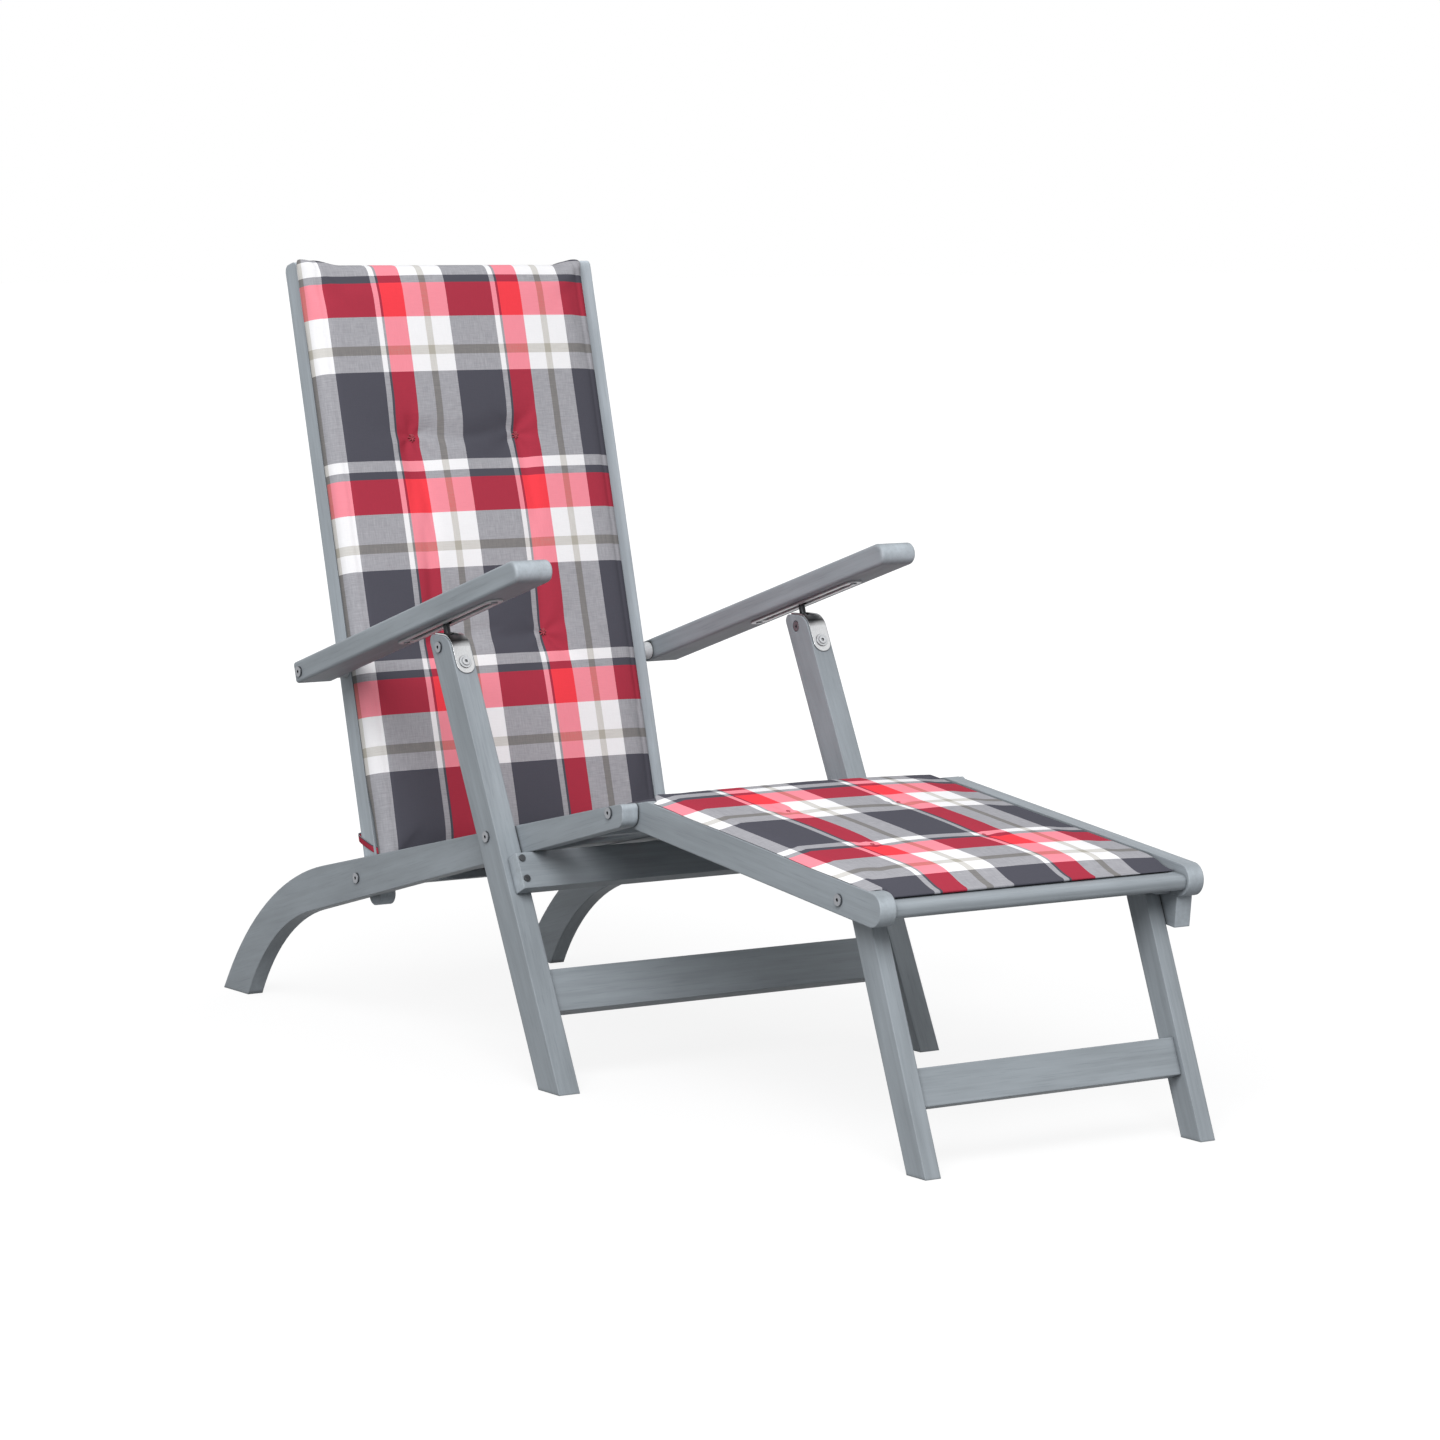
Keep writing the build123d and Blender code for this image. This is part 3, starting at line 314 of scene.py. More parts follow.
def plaid_cloth(name):
    """Woven plaid. The weave attribute holds each point's place on the cloth, in metres."""
    tree = Tree(name)
    weave = tree.node("ShaderNodeAttribute", attribute_name="weave").outputs["Vector"]
    parts = tree.node("ShaderNodeSeparateXYZ", {0: weave}).outputs
    across, along = parts[0], parts[1]
    across_total = sum(width for _, width in across_stripes)
    along_total = sum(width for _, width in along_stripes)
    across_place = tree.math("FRACT", tree.math(
        "MULTIPLY_ADD", across, 1.0 / across_total, -across_start / across_total))
    along_place = tree.math("FRACT", tree.math("MULTIPLY", along, 1.0 / along_total))

    def warp_in(shades):
        return tree.ramp(across_place, stripe_stops(across_stripes, shades), "CONSTANT")

    def weft_in(shades):
        return tree.ramp(along_place, stripe_stops(along_stripes, shades), "CONSTANT")

    slub_one = tree.noise(tree.stretched(weave, (900.0, 60.0, 1.0)), 1.0, 2.0, 0.6)
    slub_two = tree.noise(tree.stretched(weave, (60.0, 900.0, 1.0)), 1.0, 2.0, 0.6)
    share = tree.math("MULTIPLY_ADD", tree.math("SUBTRACT", slub_one, slub_two), 0.26, 0.5)
    mixed = tree.mix(share, warp_in(yarn_colours), weft_in(yarn_colours))
    for one, other, colour in crossing_colours:
        first = tree.math("MULTIPLY", warp_in(only(one)), weft_in(only(other)))
        second = tree.math("MULTIPLY", warp_in(only(other)), weft_in(only(one)))
        both = tree.math("MULTIPLY", tree.math("ADD", first, second), crossing_share)
        mixed = tree.mix(both, mixed, (*colour, 1.0))
    coded = tree.node("ShaderNodeGamma", {"Color": mixed, "Gamma": display_gamma}).outputs[0]
    slubs = tree.math("ADD", slub_one, slub_two)
    shade = tree.ramp(tree.math("MULTIPLY", slubs, 0.5), ((0.30, even(0.95)), (0.62, plain)))
    tree.link(tree.mix(1.0, coded, shade, "MULTIPLY"), "Base Color")
    tree.set(Roughness=0.92, Specular_IOR_Level=0.04)
    thread_pace = 5200.0
    threads = tree.math("MULTIPLY", tree.math("SINE", tree.math("MULTIPLY", across, thread_pace)),
                        tree.math("SINE", tree.math("MULTIPLY", along, thread_pace)))
    tree.bump(tree.math("ADD", tree.math("MULTIPLY", threads, 0.4), slubs), 0.25, 0.0004)
    return tree.material


def sewing_thread():
    """Red twisted yarn of the tufts."""
    tree = Tree("tuft_thread")
    place = tree.node("ShaderNodeTexCoord").outputs["Object"]
    twist = tree.noise(place, 900.0, 3.0, 0.6)
    tree.link(tree.ramp(twist, ((0.3, (0.30, 0.036, 0.055)), (0.7, (0.50, 0.060, 0.090)))), "Base Color")
    tree.set(Roughness=0.8, Sheen_Weight=0.2)
    tree.bump(twist, 0.4, 0.0004)
    return tree.material


plaid = plaid_cloth("plaid_cloth")
thread = sewing_thread()


def edge_round(place, half, radius):
    """1 in the middle of a pad and falling to 0 at its edge in a quarter round."""
    inside = max(0.0, half - abs(place))
    if inside >= radius:
        return 1.0
    return math.sqrt(max(0.0, 1.0 - (1.0 - inside / radius) ** 2))


def ease(start, stop, value):
    """0 at start and 1 at stop, with soft ends."""
    share = min(1.0, max(0.0, (value - start) / (stop - start)))
    return share * share * (3.0 - 2.0 * share)


def between(low, high, share):
    return low + (high - low) * share


def spaced(count):
    """Places from -1 to 1 that lie closer together near both ends."""
    return [math.sin(math.pi / 2 * (2.0 * k / count - 1.0)) for k in range(count + 1)]


class Pad:
    """One length of the pad, sewn round its edge and tufted through."""

    rim = 0.012
    voxel = 0.006
    slack = 0.0
    tuft_pull = 0.42
    tuft_reach = 0.030
    tuft_sharpness = 1.3
    knot = (0.0046, 0.0024, 0.0009)
    face_rounding = 0.003
    grid_step = 0.010
    fewest_steps = 24

    def __init__(self, name, axes, along, across, levels, tufts):
        self.name = name
        self.axes = axes
        self.middle = ((along[0] + along[1]) / 2, (across[0] + across[1]) / 2)
        self.half = ((along[1] - along[0]) / 2, (across[1] - across[0]) / 2)
        self.under, self.seam, self.top, self.crown = levels
        self.tufts = tufts

    def dip(self, along, across):
        """How far the nearest tufts pull the cloth down, from 0 to 1."""
        deepest = 0.0
        for tuft_along, tuft_across in self.tufts:
            away = math.hypot(along - tuft_along, across - tuft_across)
            deepest = max(deepest, math.exp(-(away / self.tuft_reach) ** self.tuft_sharpness))
        return deepest

    def sideways(self, across):
        return (across - self.middle[1]) / self.half[1]

    def under_at(self, along, across):
        return self.under

    def seam_at(self, along, across):
        return self.seam

    def top_at(self, along, across):
        return between(self.crown, self.top, self.sideways(across) ** 2)

    def full(self, along, across):
        lengthwise = edge_round(along - self.middle[0], self.half[0], self.rim)
        return lengthwise * edge_round(across - self.middle[1], self.half[1], self.rim)

    def height(self, along, across):
        seam = self.seam_at(along, across)
        rise = (self.top_at(along, across) - seam) * self.full(along, across)
        return seam + rise * (1.0 - self.tuft_pull * self.dip(along, across))

    def bottom(self, along, across):
        seam = self.seam_at(along, across)
        return seam - (seam - self.under_at(along, across)) * self.full(along, across)

    def settle(self, point, upward):
        """Where a point of the swollen pad comes to lie on the frame."""
        return point

    def cloth_place(self, along, across, height):
        """Place on the flat cloth: over the face, then on down the sides."""
        place = []
        for value, middle, half in ((across, self.middle[1], self.half[1]),
                                    (along, self.middle[0], self.half[0])):
            past = abs(value - middle) - (half - self.rim)
            if past > 0:
                drop = max(0.0, self.top - self.face_rounding - height)
                value += math.copysign(min(1.0, past / self.rim) * drop, value - middle)
            place.append(value)
        return place

    def mesh(self):
        """Closed mesh of the unswollen pad, in its own axes."""
        steps = [max(self.fewest_steps, int(half * 2 / self.grid_step)) for half in self.half]
        lines = [[middle + half * place for place in spaced(count)]
                 for middle, half, count in zip(self.middle, self.half, steps)]
        made = bmesh.new()
        faces = {}
        for side, level in (("top", self.height), ("under", self.bottom)):
            loose = self.slack if side == "top" else -self.slack
            faces[side] = [
                [made.verts.new((along, across, level(along, across) + loose * self.full(along, across)))
                 for across in lines[1]]
                for along in lines[0]
            ]
        for side, turn in (("top", 1), ("under", -1)):
            grid = faces[side]
            for i in range(steps[0]):
                for j in range(steps[1]):
                    loop = (grid[i][j], grid[i + 1][j], grid[i + 1][j + 1], grid[i][j + 1])
                    made.faces.new(loop[::turn])
        bmesh.ops.remove_doubles(made, verts=made.verts, dist=0.0002)
        data = bpy.data.meshes.new(self.name)
        made.to_mesh(data)
        made.free()
        return data


# The head edge of the back pad and its standing corners, in metres.
head_end = -0.777
ear_rise = 0.0075
ear_depth = 0.045


def ear(across):
    """1 at both ends of the head edge, where the cloth stands up, and 0 between them."""
    return max(ease(-0.160, -0.200, across), ease(0.152, 0.186, across))


class BackPad(Pad):
    """The length on the back: both corners of its head end stand up, and its right side swells out."""

    voxel = 0.005
    rim = 0.010
    stitch_lines = (-0.2010, 0.1790)
    stitch_depth = 0.0014
    stitch_width = 0.0032
    side_swell = 0.0032
    squeeze_from = -0.760
    squeeze = 0.65

    def settle(self, point, upward):
        along, across, height = point
        lift = ear_rise * ear(across) * ease(head_end + ear_depth, head_end, along)
        swollen = self.side_swell * ease(-0.065, -0.120, along) * ease(-0.190, -0.219, across)
        if upward > 0:
            for line in self.stitch_lines:
                height -= self.stitch_depth * math.exp(-((across - line) / self.stitch_width) ** 2)
        return Vector((along - lift, across - swollen, height))

    def cloth_place(self, along, across, height):
        place = super().cloth_place(along, across, height)
        if along < self.squeeze_from:
            place[1] = self.squeeze_from + self.squeeze * (along - self.squeeze_from)
        return place


class RestPad(Pad):
    """The length on the footrest: sunk between the rails, lapped over the right rail and the bar."""

    voxel = 0.004
    rim = 0.005
    slack = 0.0020
    tuft_pull = 0.22
    knot = (0.0024, 0.0007, 0.0006)

    # Levels of the underside between the rails, at its rim, on the bar and on the right rail, and
    # of the seam at the side, on the bar and on the right rail.
    belly_level = 0.0056
    rim_level = 0.0170
    bar_level = 0.0107
    lap_level = 0.0215
    side_seam = 0.0180
    bar_seam = 0.0130
    lap_seam = 0.0220

    # How far the top falls to the left and right, at the outer edge of the lap and at the front.
    left_fall = 0.0055
    right_fall = 0.0004
    lap_fall = 0.0036
    front_fall = 0.0108
    lap_front_fall = 0.0015

    # How closely the cloth follows the frame where it is thick and where it is thin.
    loose_hold = 0.55
    tight_hold = 0.92

    # The waves of the right edge, and how far the rear edge is drawn forward.
    wave_places = (0.130, 0.372)
    wave_length = 0.040
    wave_depth = 0.0018
    rear_skew = 0.009
    lap_skew = 0.022

    def lap(self, across):
        """1 on the right rail and 0 between the rails."""
        return ease(-0.188, -0.1960, across)

    def over_bar(self, along):
        """1 on the front bar and 0 behind it."""
        return ease(0.446, 0.471, along)

    def under_at(self, along, across):
        bar = self.over_bar(along)
        belly = between(self.belly_level, self.bar_level, bar)
        rim = between(self.rim_level, self.bar_level, bar)
        sunk = between(belly, rim, ease(0.160, 0.173, abs(across)))
        return between(sunk, self.lap_level, self.lap(across))

    def seam_at(self, along, across):
        sunk = between(self.side_seam, self.bar_seam, self.over_bar(along))
        return between(sunk, self.lap_seam, self.lap(across))

    def top_at(self, along, across):
        side = self.sideways(across)
        face = self.crown - (self.left_fall if side > 0 else self.right_fall) * side * side
        face -= self.lap_fall * ease(-0.194, -0.2165, across)
        front = between(face - self.front_fall, face - self.lap_front_fall, self.lap(across))
        return between(face, front, ease(0.430, 0.478, along))

    def settle(self, point, upward):
        along, across, height = point
        wanted = self.height(along, across) if upward > 0 else self.bottom(along, across)
        thin = max(self.lap(across), ease(0.420, 0.450, along), ease(0.150, 0.175, across))
        hold = between(self.loose_hold, self.tight_hold, thin)
        height = between(height, wanted, hold * min(1.0, abs(upward) * 2.5))
        waves = sum(math.exp(-((along - place) / self.wave_length) ** 2) for place in self.wave_places)
        drawn = self.wave_depth * waves * ease(-0.196, -0.217, across)
        skew = self.rear_skew * ease(0.195, -0.195, across) + self.lap_skew * ease(-0.196, -0.214, across)
        along += skew * ease(0.140, 0.020, along)
        return Vector((along, across - drawn, height))


def modify(piece, kind, **settings):
    """Adds a modifier, applies it and leaves plain geometry."""
    modifier = piece.modifiers.new(kind.lower(), kind)
    for key, value in settings.items():
        setattr(modifier, key, value)
    done = piece.evaluated_get(bpy.context.evaluated_depsgraph_get())
    data = bpy.data.meshes.new_from_object(done)
    piece.modifiers.clear()
    old = piece.data
    piece.data = data
    bpy.data.meshes.remove(old)


def swell(piece, held, limit):
    """Inflates a closed cloth whose held points stay where they are."""
    group = piece.vertex_groups.new(name="held")
    group.add(held, 1.0, "REPLACE")
    cloth = piece.modifiers.new("cloth", "CLOTH")
    cloth.settings.quality = 4
    cloth.settings.tension_stiffness = 12.0
    cloth.settings.compression_stiffness = 12.0
    cloth.settings.shear_stiffness = 4.0
    cloth.settings.bending_stiffness = 0.3
    cloth.settings.use_pressure = True
    cloth.settings.uniform_pressure_force = cloth_pressure
    cloth.settings.vertex_group_mass = group.name
    cloth.settings.effector_weights.gravity = 0.0
    cloth.collision_settings.use_collision = False
    cloth.collision_settings.use_self_collision = False
    cloth.point_cache.frame_start = 1
    cloth.point_cache.frame_end = swell_frames
    for step in range(1, swell_frames + 1):
        scene.frame_set(step)
    done = piece.evaluated_get(bpy.context.evaluated_depsgraph_get())
    moved = [vertex.co.copy() for vertex in done.data.vertices]
    piece.modifiers.clear()
    piece.vertex_groups.clear()
    for vertex, target in zip(piece.data.vertices, moved):
        shift = target - vertex.co
        if shift.length > limit:
            shift *= limit / shift.length
        vertex.co += shift
    scene.frame_set(1)


def smooth(piece, turns):
    """Evens out the steps of a mesh."""
    made = bmesh.new()
    made.from_mesh(piece.data)
    for _ in range(turns):
        bmesh.ops.smooth_vert(made, verts=made.verts, factor=0.5, use_axis_x=True,
                              use_axis_y=True, use_axis_z=True)
    made.to_mesh(piece.data)
    made.free()


yarn_sides = 6
yarn_slot = 1


def yarn_loop(made, points, radius):
    """Round yarn along a line of points, added to a mesh in the making."""
    rings = []
    sides = yarn_sides
    for k in range(len(points)):
        point = points[k]
        before = points[max(0, k - 1)]
        after = points[min(len(points) - 1, k + 1)]
        run = (after - before).normalized()
        side = run.cross(Vector((0.3, 0.2, 0.93))).normalized()
        up = side.cross(run)
        rings.append([made.verts.new(point + side * (radius * math.cos(2 * math.pi * n / sides))
                                     + up * (radius * math.sin(2 * math.pi * n / sides)))
                      for n in range(sides)])
    for near, far in zip(rings, rings[1:]):
        for n in range(sides):
            face = made.faces.new((near[n], near[(n + 1) % sides], far[(n + 1) % sides], far[n]))
            face.material_index = yarn_slot
            face.smooth = True
    for ring in (rings[0][::-1], rings[-1]):
        made.faces.new(ring).material_index = yarn_slot


def add_tufts(piece, pad):
    """Small rosettes of yarn, each pulled tight in its dimple."""
    made = bmesh.new()
    made.from_mesh(piece.data)
    surface = [vertex.co.copy() for vertex in made.verts]
    loops = 7
    steps = 8
    dimple = 0.006
    sunk = 0.0006
    reach, rise, yarn = pad.knot
    for tuft in pad.tufts:
        level = max(co.z for co in surface if math.hypot(co.x - tuft[0], co.y - tuft[1]) < dimple)
        for k in range(loops):
            angle = 2 * math.pi * k / loops
            out = Vector((math.cos(angle), math.sin(angle), 0.0))
            uneven = 1.0 + 0.25 * math.sin(5 * k)
            points = []
            for n in range(steps + 1):
                turn = math.pi * n / steps
                points.append(Vector((tuft[0], tuft[1], level - sunk))
                              + out * (reach * (1 - math.cos(turn)) / 2)
                              + Vector((0, 0, rise * math.sin(turn) * uneven)))
            yarn_loop(made, points, yarn)
    made.to_mesh(piece.data)
    made.free()


def pucker(piece, pad):
    """Short folds that run out from each tuft."""
    reach = 0.11
    fade = 0.035
    start = 0.015
    depth = 0.0018
    folds = 5
    for vertex in piece.data.vertices:
        if vertex.co.z < pad.seam:
            continue
        for k, tuft in enumerate(pad.tufts):
            away = math.hypot(vertex.co.x - tuft[0], vertex.co.y - tuft[1])
            if away < reach:
                turn = math.atan2(vertex.co.y - tuft[1], vertex.co.x - tuft[0])
                fold = math.cos(folds * turn + 1.7 * k) * math.exp(-away / fade) * min(1.0, away / start)
                vertex.co.z += depth * fold


def fit(piece, pad):
    """Draws the swollen pad out to its limits, then lets it settle on the frame."""
    corners = np.array([vertex.co for vertex in piece.data.vertices])
    low, high = corners.min(axis=0), corners.max(axis=0)
    upward = [vertex.normal.z for vertex in piece.data.vertices]
    for vertex, up in zip(piece.data.vertices, upward):
        place = vertex.co.copy()
        for axis in (0, 1):
            share = (place[axis] - low[axis]) / (high[axis] - low[axis])
            place[axis] = pad.middle[axis] + pad.half[axis] * (2.0 * share - 1.0)
        vertex.co = pad.settle(place, up)


def mark_weave(piece, pad, shift):
    """Lays the plaid on the cloth."""
    weave = piece.data.attributes.new("weave", "FLOAT_VECTOR", "POINT")
    for vertex in piece.data.vertices:
        across, along = pad.cloth_place(*vertex.co)
        weave.data[vertex.index].vector = (across, along + shift, 0.0)


# What stays put while a pad swells: the cloth at the tufts and all that lies below the seam.
tied_reach = 0.007
below_seam = 0.001


def make_pad(pad, shift, body, node, limit):
    """Swells, tufts and lays one length of the pad in place of its solid."""
    piece = bpy.data.objects.new(pad.name, pad.mesh())
    scene.collection.objects.link(piece)
    modify(piece, "REMESH", mode="VOXEL", voxel_size=pad.voxel)
    held = []
    for vertex in piece.data.vertices:
        along, across, height = vertex.co
        below = height < pad.seam_at(along, across) - below_seam
        tied = any(math.hypot(along - tuft[0], across - tuft[1]) < tied_reach for tuft in pad.tufts)
        if below or tied:
            held.append(vertex.index)
    swell(piece, held, limit)
    smooth(piece, 3)
    modify(piece, "SUBSURF", levels=1)
    pucker(piece, pad)
    fit(piece, pad)
    add_tufts(piece, pad)
    mark_weave(piece, pad, shift)
    piece.data.materials.append(plaid)
    piece.data.materials.append(thread)
    for face in piece.data.polygons:
        face.use_smooth = True
    piece.data.transform(pad.axes)
    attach(piece, body)
    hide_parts(node)
    return piece


def tuft_grid(alongs, acrosses):
    return [(along, across) for along in alongs for across in acrosses]


back_pad = BackPad("cushion_back", back_frame, (head_end, -0.009), (-0.2190, 0.1955),
                   (0.0176, 0.0200, 0.0395, 0.0440), tuft_grid((-0.548, -0.290), (-0.098, 0.054)))
seat_pad = Pad("cushion_seat", seat_frame, (-0.350, 0.193), (-0.1940, 0.1940),
               (-0.0152, -0.0120, 0.0015, 0.0070), tuft_grid((-0.200, 0.060), (-0.098, 0.054)))
rest_pad = RestPad("cushion_footrest", rest_frame, (0.019, 0.4805), (-0.2172, 0.1945),
                   (0.0170, 0.0180, 0.0250, 0.0262), tuft_grid((0.150, 0.315), (-0.098, 0.054)))

cushion_back = make_pad(back_pad, back_plaid_shift, "backrest", "back_pad", 0.005)
cushion_seat = make_pad(seat_pad, seat_plaid_shift, "seat_frame", "seat_pad", 0.004)
make_pad(rest_pad, rest_plaid_shift, "footrest", "footrest_pad", 0.0025)


def strip(name, rows, closed):
    """Cloth made from rows of points across it, in the axes of a pad."""
    made = bmesh.new()
    grid = [[made.verts.new(point) for point in row] for row in rows]
    for i in range(len(grid) if closed else len(grid) - 1):
        near, far = grid[i], grid[(i + 1) % len(grid)]
        for j in range(len(near) - 1):
            made.faces.new((near[j], far[j], far[j + 1], near[j + 1])).smooth = True
    data = bpy.data.meshes.new(name)
    made.to_mesh(data)
    made.free()
    piece = bpy.data.objects.new(name, data)
    scene.collection.objects.link(piece)
    return piece


def finish_strip(piece, weave_places, thickness, axes, body, node):
    """Lays the plaid on a strip, gives it its thickness and puts it in place of its solid."""
    weave = piece.data.attributes.new("weave", "FLOAT_VECTOR", "POINT")
    for vertex, place in zip(piece.data.vertices, weave_places):
        weave.data[vertex.index].vector = (*place, 0.0)
    piece.data.materials.append(plaid)
    modify(piece, "SOLIDIFY", thickness=thickness, offset=0.0)
    modify(piece, "SUBSURF", levels=1)
    for face in piece.data.polygons:
        face.use_smooth = True
    piece.data.transform(axes)
    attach(piece, body)
    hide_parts(node)


# The hood: a pocket of the same cloth over the top of the back.
hood_half = 0.190
hood_top = 0.7770
hood_front = 0.0168
hood_rear = -0.0182
hood_hem = 0.562
hood_front_hem = 0.752
hood_cloth = 0.0014
hood_round = 0.005
hood_folds_below = 0.012
hood_ear_depth = 0.03
hood_columns = 64


def hood_line():
    """Points of the hood's section, as (height out of the back, distance up it)."""
    points = [(hood_front, hood_front_hem + k * 0.004) for k in range(4)]
    middle = (hood_front + hood_rear) / 2
    half = (hood_front - hood_rear) / 2
    rise = hood_round
    bends = 12
    for k in range(bends + 1):
        turn = math.pi * k / bends
        points.append((middle + half * math.cos(turn), hood_top - rise + rise * math.sin(turn)))
    count = 34
    for k in range(1, count + 1):
        points.append((hood_rear, hood_top - rise + (hood_hem - hood_top + rise) * k / count))
    return points


def hood_fold(across, up):
    """Depth of the slack folds behind the back."""
    steep = 0.0012 * math.sin(17.0 * across / hood_half + 2.0 * up / 0.05)
    broad = 0.0010 * math.sin(7.0 * across / hood_half - 9.0 * up)
    return steep + broad


def make_hood():
    rows, places = [], []
    count = hood_columns
    run, before = 0.0, None
    for height, up in hood_line():
        if before is not None:
            run += math.dist(before, (height, up))
        before = (height, up)
        hanging = (hood_top - hood_folds_below - up) / (hood_top - hood_hem)
        behind = max(0.0, hanging) if height < 0 else 0.0
        row = []
        for k in range(count + 1):
            side = 2.0 * k / count - 1.0
            across = side * hood_half
            lift = ear_rise * ear(across) * max(0.0, 1.0 - (hood_top - up) / hood_ear_depth)
            fold = behind * hood_fold(across, up)
            row.append(Vector((-(up + lift), across, height - abs(fold) - 0.0006 * behind)))
            places.append((across, back_plaid_shift - hood_front_hem - run - lift))
        rows.append(row)
    piece = strip("hood_cloth", rows, False)
    finish_strip(piece, places, hood_cloth, back_frame, "backrest", "pad_hood")


make_hood()

# The ties: a tape loop round the foot of each stile, slack and drooping behind it.
stile_middle = 0.2075
tape_width = 0.010
tape_thickness = 0.0008
tape_front = 0.0163
tape_rear = -0.0270
tape_half = 0.0112
tape_level = 0.0395
tape_slope = -0.55
tape_pattern = (0.093, 0.0185)
tape_weft = 0.170
tape_squareness = 0.45
tape_steps = 4


def tape_line():
    """Closed section of a tie, as (height out of the back, sideways from the stile's middle)."""
    points = []
    count = 40
    middle = (tape_front + tape_rear) / 2
    half = (tape_front - tape_rear) / 2
    for k in range(count):
        turn = 2 * math.pi * k / count
        cosine, sine = math.cos(turn), math.sin(turn)
        points.append((middle + half * math.copysign(abs(cosine) ** tape_squareness, cosine),
                       tape_half * math.copysign(abs(sine) ** tape_squareness, sine)))
    return points


def make_tie(name, side):
    rows, places = [], []
    line = tape_line()
    run = 0.0
    for k, (height, sideways) in enumerate(line):
        if k:
            run += math.dist(line[k - 1], line[k])
        level = tape_level + tape_slope * height
        row = []
        for n in range(tape_steps + 1):
            up = level + tape_width * (n / tape_steps - 0.5)
            row.append(Vector((-up, side * stile_middle + sideways, height)))
            stripe = across_start + tape_pattern[0] - tape_pattern[1] * n / tape_steps
            places.append((stripe, tape_weft + 0.2 * run))
        rows.append(row)
    run += math.dist(line[-1], line[0])
    piece = strip(name, rows, True)
    finish_strip(piece, places, tape_thickness, back_frame, "backrest", "pad_ties")


make_tie("tie_left", 1)
make_tie("tie_right", -1)

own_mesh(cushion_back)
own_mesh(cushion_seat)

# Finishes of the CAD pieces.
polished = metal("polished_steel", (0.72, 0.73, 0.74), 0.24, 0.14, 0.10)
plate_steel = metal("plate_steel", (0.66, 0.68, 0.70), 0.36, 0.14, shine=0.35)
bolt_steel = metal("bolt_steel", (0.30, 0.31, 0.33), 0.28, 0.20)
dark_steel = metal("dark_steel", (0.15, 0.155, 0.165), 0.36, 0.20)
black_steel = metal("black_steel", (0.045, 0.047, 0.050), 0.34, 0.20)
nylon = pale_plastic()
piece_finishes = {
    "post_brackets": polished, "slot_plates": plate_steel, "bracket_screws": plate_steel,
    "armrest_studs": black_steel, "stud_pins": bolt_steel, "armrest_spacers": nylon,
    "apron_screws": dark_steel,
}
soft_nodes = {"back_pad", "seat_pad", "footrest_pad", "pad_hood", "pad_ties"}

# Painted light that brightens the boards, most of all the back stiles, and the reach and shades of the
# painted shade in their joints and under the armrests.
armrest_painted_light = 1.04
armrest_shade = (0.022, ((0.40, 0.01), (0.66, 1.0)))
stile_painted_light = 1.42
frame_shade = (0.008, ((0.30, 0.40), (0.80, 1.0)))


def finish_of(node, number):
    """Material of one CAD piece, by its name."""
    if node in piece_finishes:
        return piece_finishes[node]
    if node.endswith("_screws") or node.endswith("_bolts"):
        return bolt_steel
    if node.startswith("armrest"):
        return grey_wood(node, number, armrest_painted_light, *armrest_shade)
    # The back stiles are painted brighter, as if more light fell on them.
    painted_light = stile_painted_light if node.startswith("back_stile") else 1.0
    return grey_wood(node, number, painted_light, *frame_shade)


for number, node in enumerate(sorted(nodes)):
    if node in soft_nodes:
        continue
    finish = finish_of(node, number)
    slots = nodes[node].data.materials
    if len(slots) == 0:
        slots.append(finish)
    for k in range(len(slots)):
        slots[k] = finish


def background(tree, low, high):
    """Strength that camera, glossy and transmission rays see as high and other rays as low."""
    path = tree.nodes.new("ShaderNodeLightPath")
    seen = path.outputs["Is Camera Ray"]
    for kind in ("Is Glossy Ray", "Is Transmission Ray"):
        either = tree.nodes.new("ShaderNodeMath")
        either.operation = "MAXIMUM"
        tree.links.new(seen, either.inputs[0])
        tree.links.new(path.outputs[kind], either.inputs[1])
        seen = either.outputs[0]
    strength = tree.nodes.new("ShaderNodeMapRange")
    strength.inputs["To Min"].default_value = low
    if isinstance(high, bpy.types.NodeSocket):
        tree.links.new(high, strength.inputs["To Max"])
    else:
        strength.inputs["To Max"].default_value = high
    tree.links.new(seen, strength.inputs["Value"])
    return strength.outputs["Result"]


# The studio: floor, light and camera, in metres and watts.
floor_reach = 60.0
floor_gap = 0.0005
floor_colour = (0.17, 0.17, 0.172, 1.0)
floor_fade = (("From Min", 0.7), ("From Max", 2.6), ("To Min", 0.855), ("To Max", 1.0))
sky_light = 0.55
white = (1.0, 1.0, 1.0, 1.0)
lamp_place = (3.2, -2.6, 3.55)
lamp_size = 3.0
lamp_power = 213.0
lamp_aim = (0.0, 0.0, 0.45)
camera_place = (4.6509, -3.0183, 1.0056)
camera_aim = (-0.8305, 0.5466, -0.1074)
camera_lens = 116.4


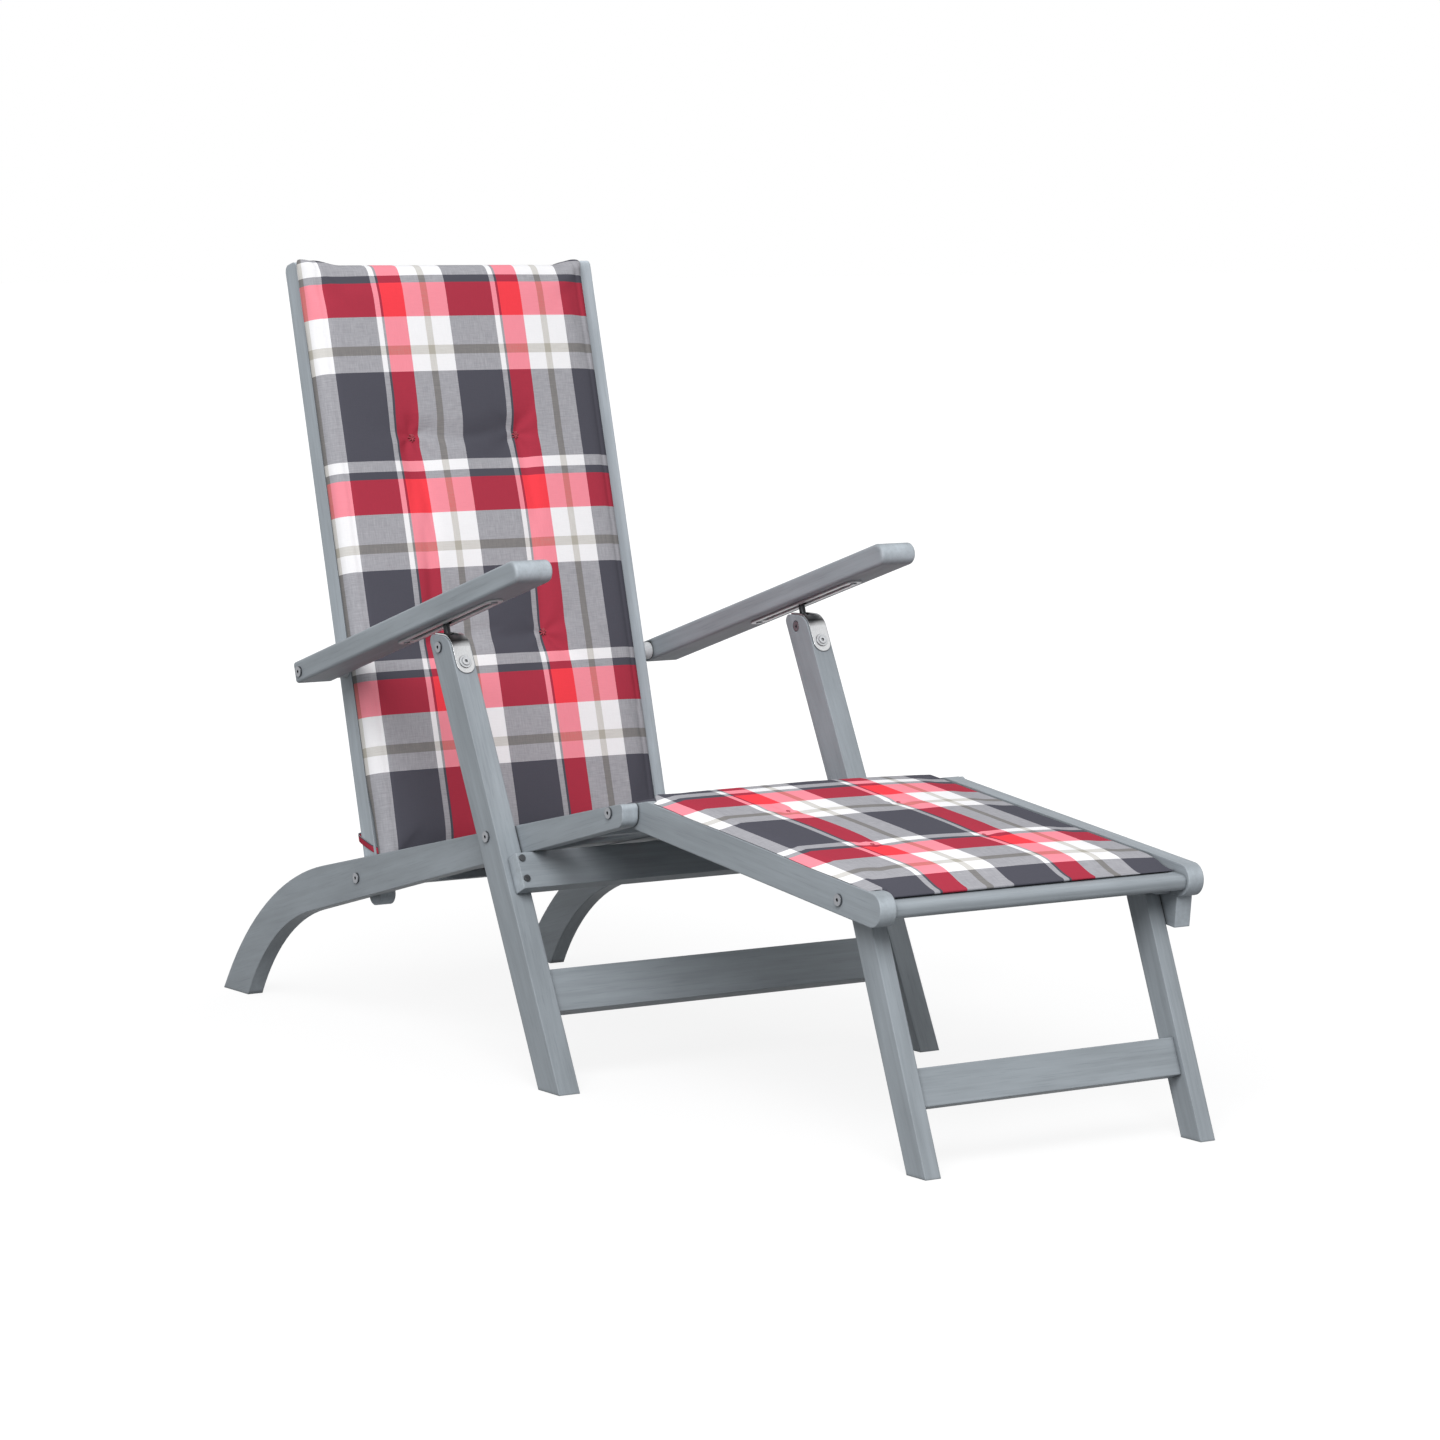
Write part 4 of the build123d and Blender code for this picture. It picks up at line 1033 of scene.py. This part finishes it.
def studio():
    """Pale floor that fades to white, soft light and the camera."""
    floor_data = bpy.data.meshes.new("floor")
    reach = floor_reach
    level = cad_box[0][2] - floor_gap
    floor_data.from_pydata([(-reach, -reach, level), (reach, -reach, level), (reach, reach, level),
                            (-reach, reach, level)], [], [(0, 1, 2, 3)])
    floor = bpy.data.objects.new("floor", floor_data)
    scene.collection.objects.link(floor)
    pale = bpy.data.materials.new("pale_floor")
    pale.use_nodes = True
    tree = pale.node_tree
    tree.nodes.clear()
    matt = tree.nodes.new("ShaderNodeBsdfDiffuse")
    matt.inputs["Color"].default_value = floor_colour
    glow = tree.nodes.new("ShaderNodeEmission")
    glow.inputs["Color"].default_value = white
    where = tree.nodes.new("ShaderNodeTexCoord")
    away = tree.nodes.new("ShaderNodeVectorMath")
    away.operation = "LENGTH"
    tree.links.new(where.outputs["Object"], away.inputs[0])
    fade = tree.nodes.new("ShaderNodeMapRange")
    for name, value in floor_fade:
        fade.inputs[name].default_value = value
    tree.links.new(away.outputs["Value"], fade.inputs["Value"])
    tree.links.new(background(tree, 0.0, fade.outputs["Result"]), glow.inputs["Strength"])
    both = tree.nodes.new("ShaderNodeAddShader")
    out = tree.nodes.new("ShaderNodeOutputMaterial")
    tree.links.new(matt.outputs[0], both.inputs[0])
    tree.links.new(glow.outputs[0], both.inputs[1])
    tree.links.new(both.outputs[0], out.inputs["Surface"])
    floor_data.materials.append(pale)

    world = bpy.data.worlds.new("studio")
    scene.world = world
    world.use_nodes = True
    tree = world.node_tree
    sky = tree.nodes["Background"]
    sky.inputs["Color"].default_value = white
    tree.links.new(background(tree, sky_light, 1.0), sky.inputs["Strength"])

    lamp = bpy.data.lights.new("key", "AREA")
    lamp.size = lamp_size
    lamp.energy = lamp_power
    holder = bpy.data.objects.new("key", lamp)
    holder.location = lamp_place
    aim = Vector(lamp_aim) - holder.location
    holder.rotation_euler = aim.to_track_quat("-Z", "Y").to_euler()
    scene.collection.objects.link(holder)

    eye = bpy.data.cameras.new("camera")
    eye.sensor_width = 36.0
    eye.lens = camera_lens
    eye.clip_end = 100.0
    holder = bpy.data.objects.new("camera", eye)
    holder.location = camera_place
    holder.rotation_euler = Vector(camera_aim).to_track_quat("-Z", "Y").to_euler()
    scene.collection.objects.link(holder)
    scene.camera = holder


studio()
scene.view_settings.view_transform = "Standard"
bpy.context.view_layer.update()
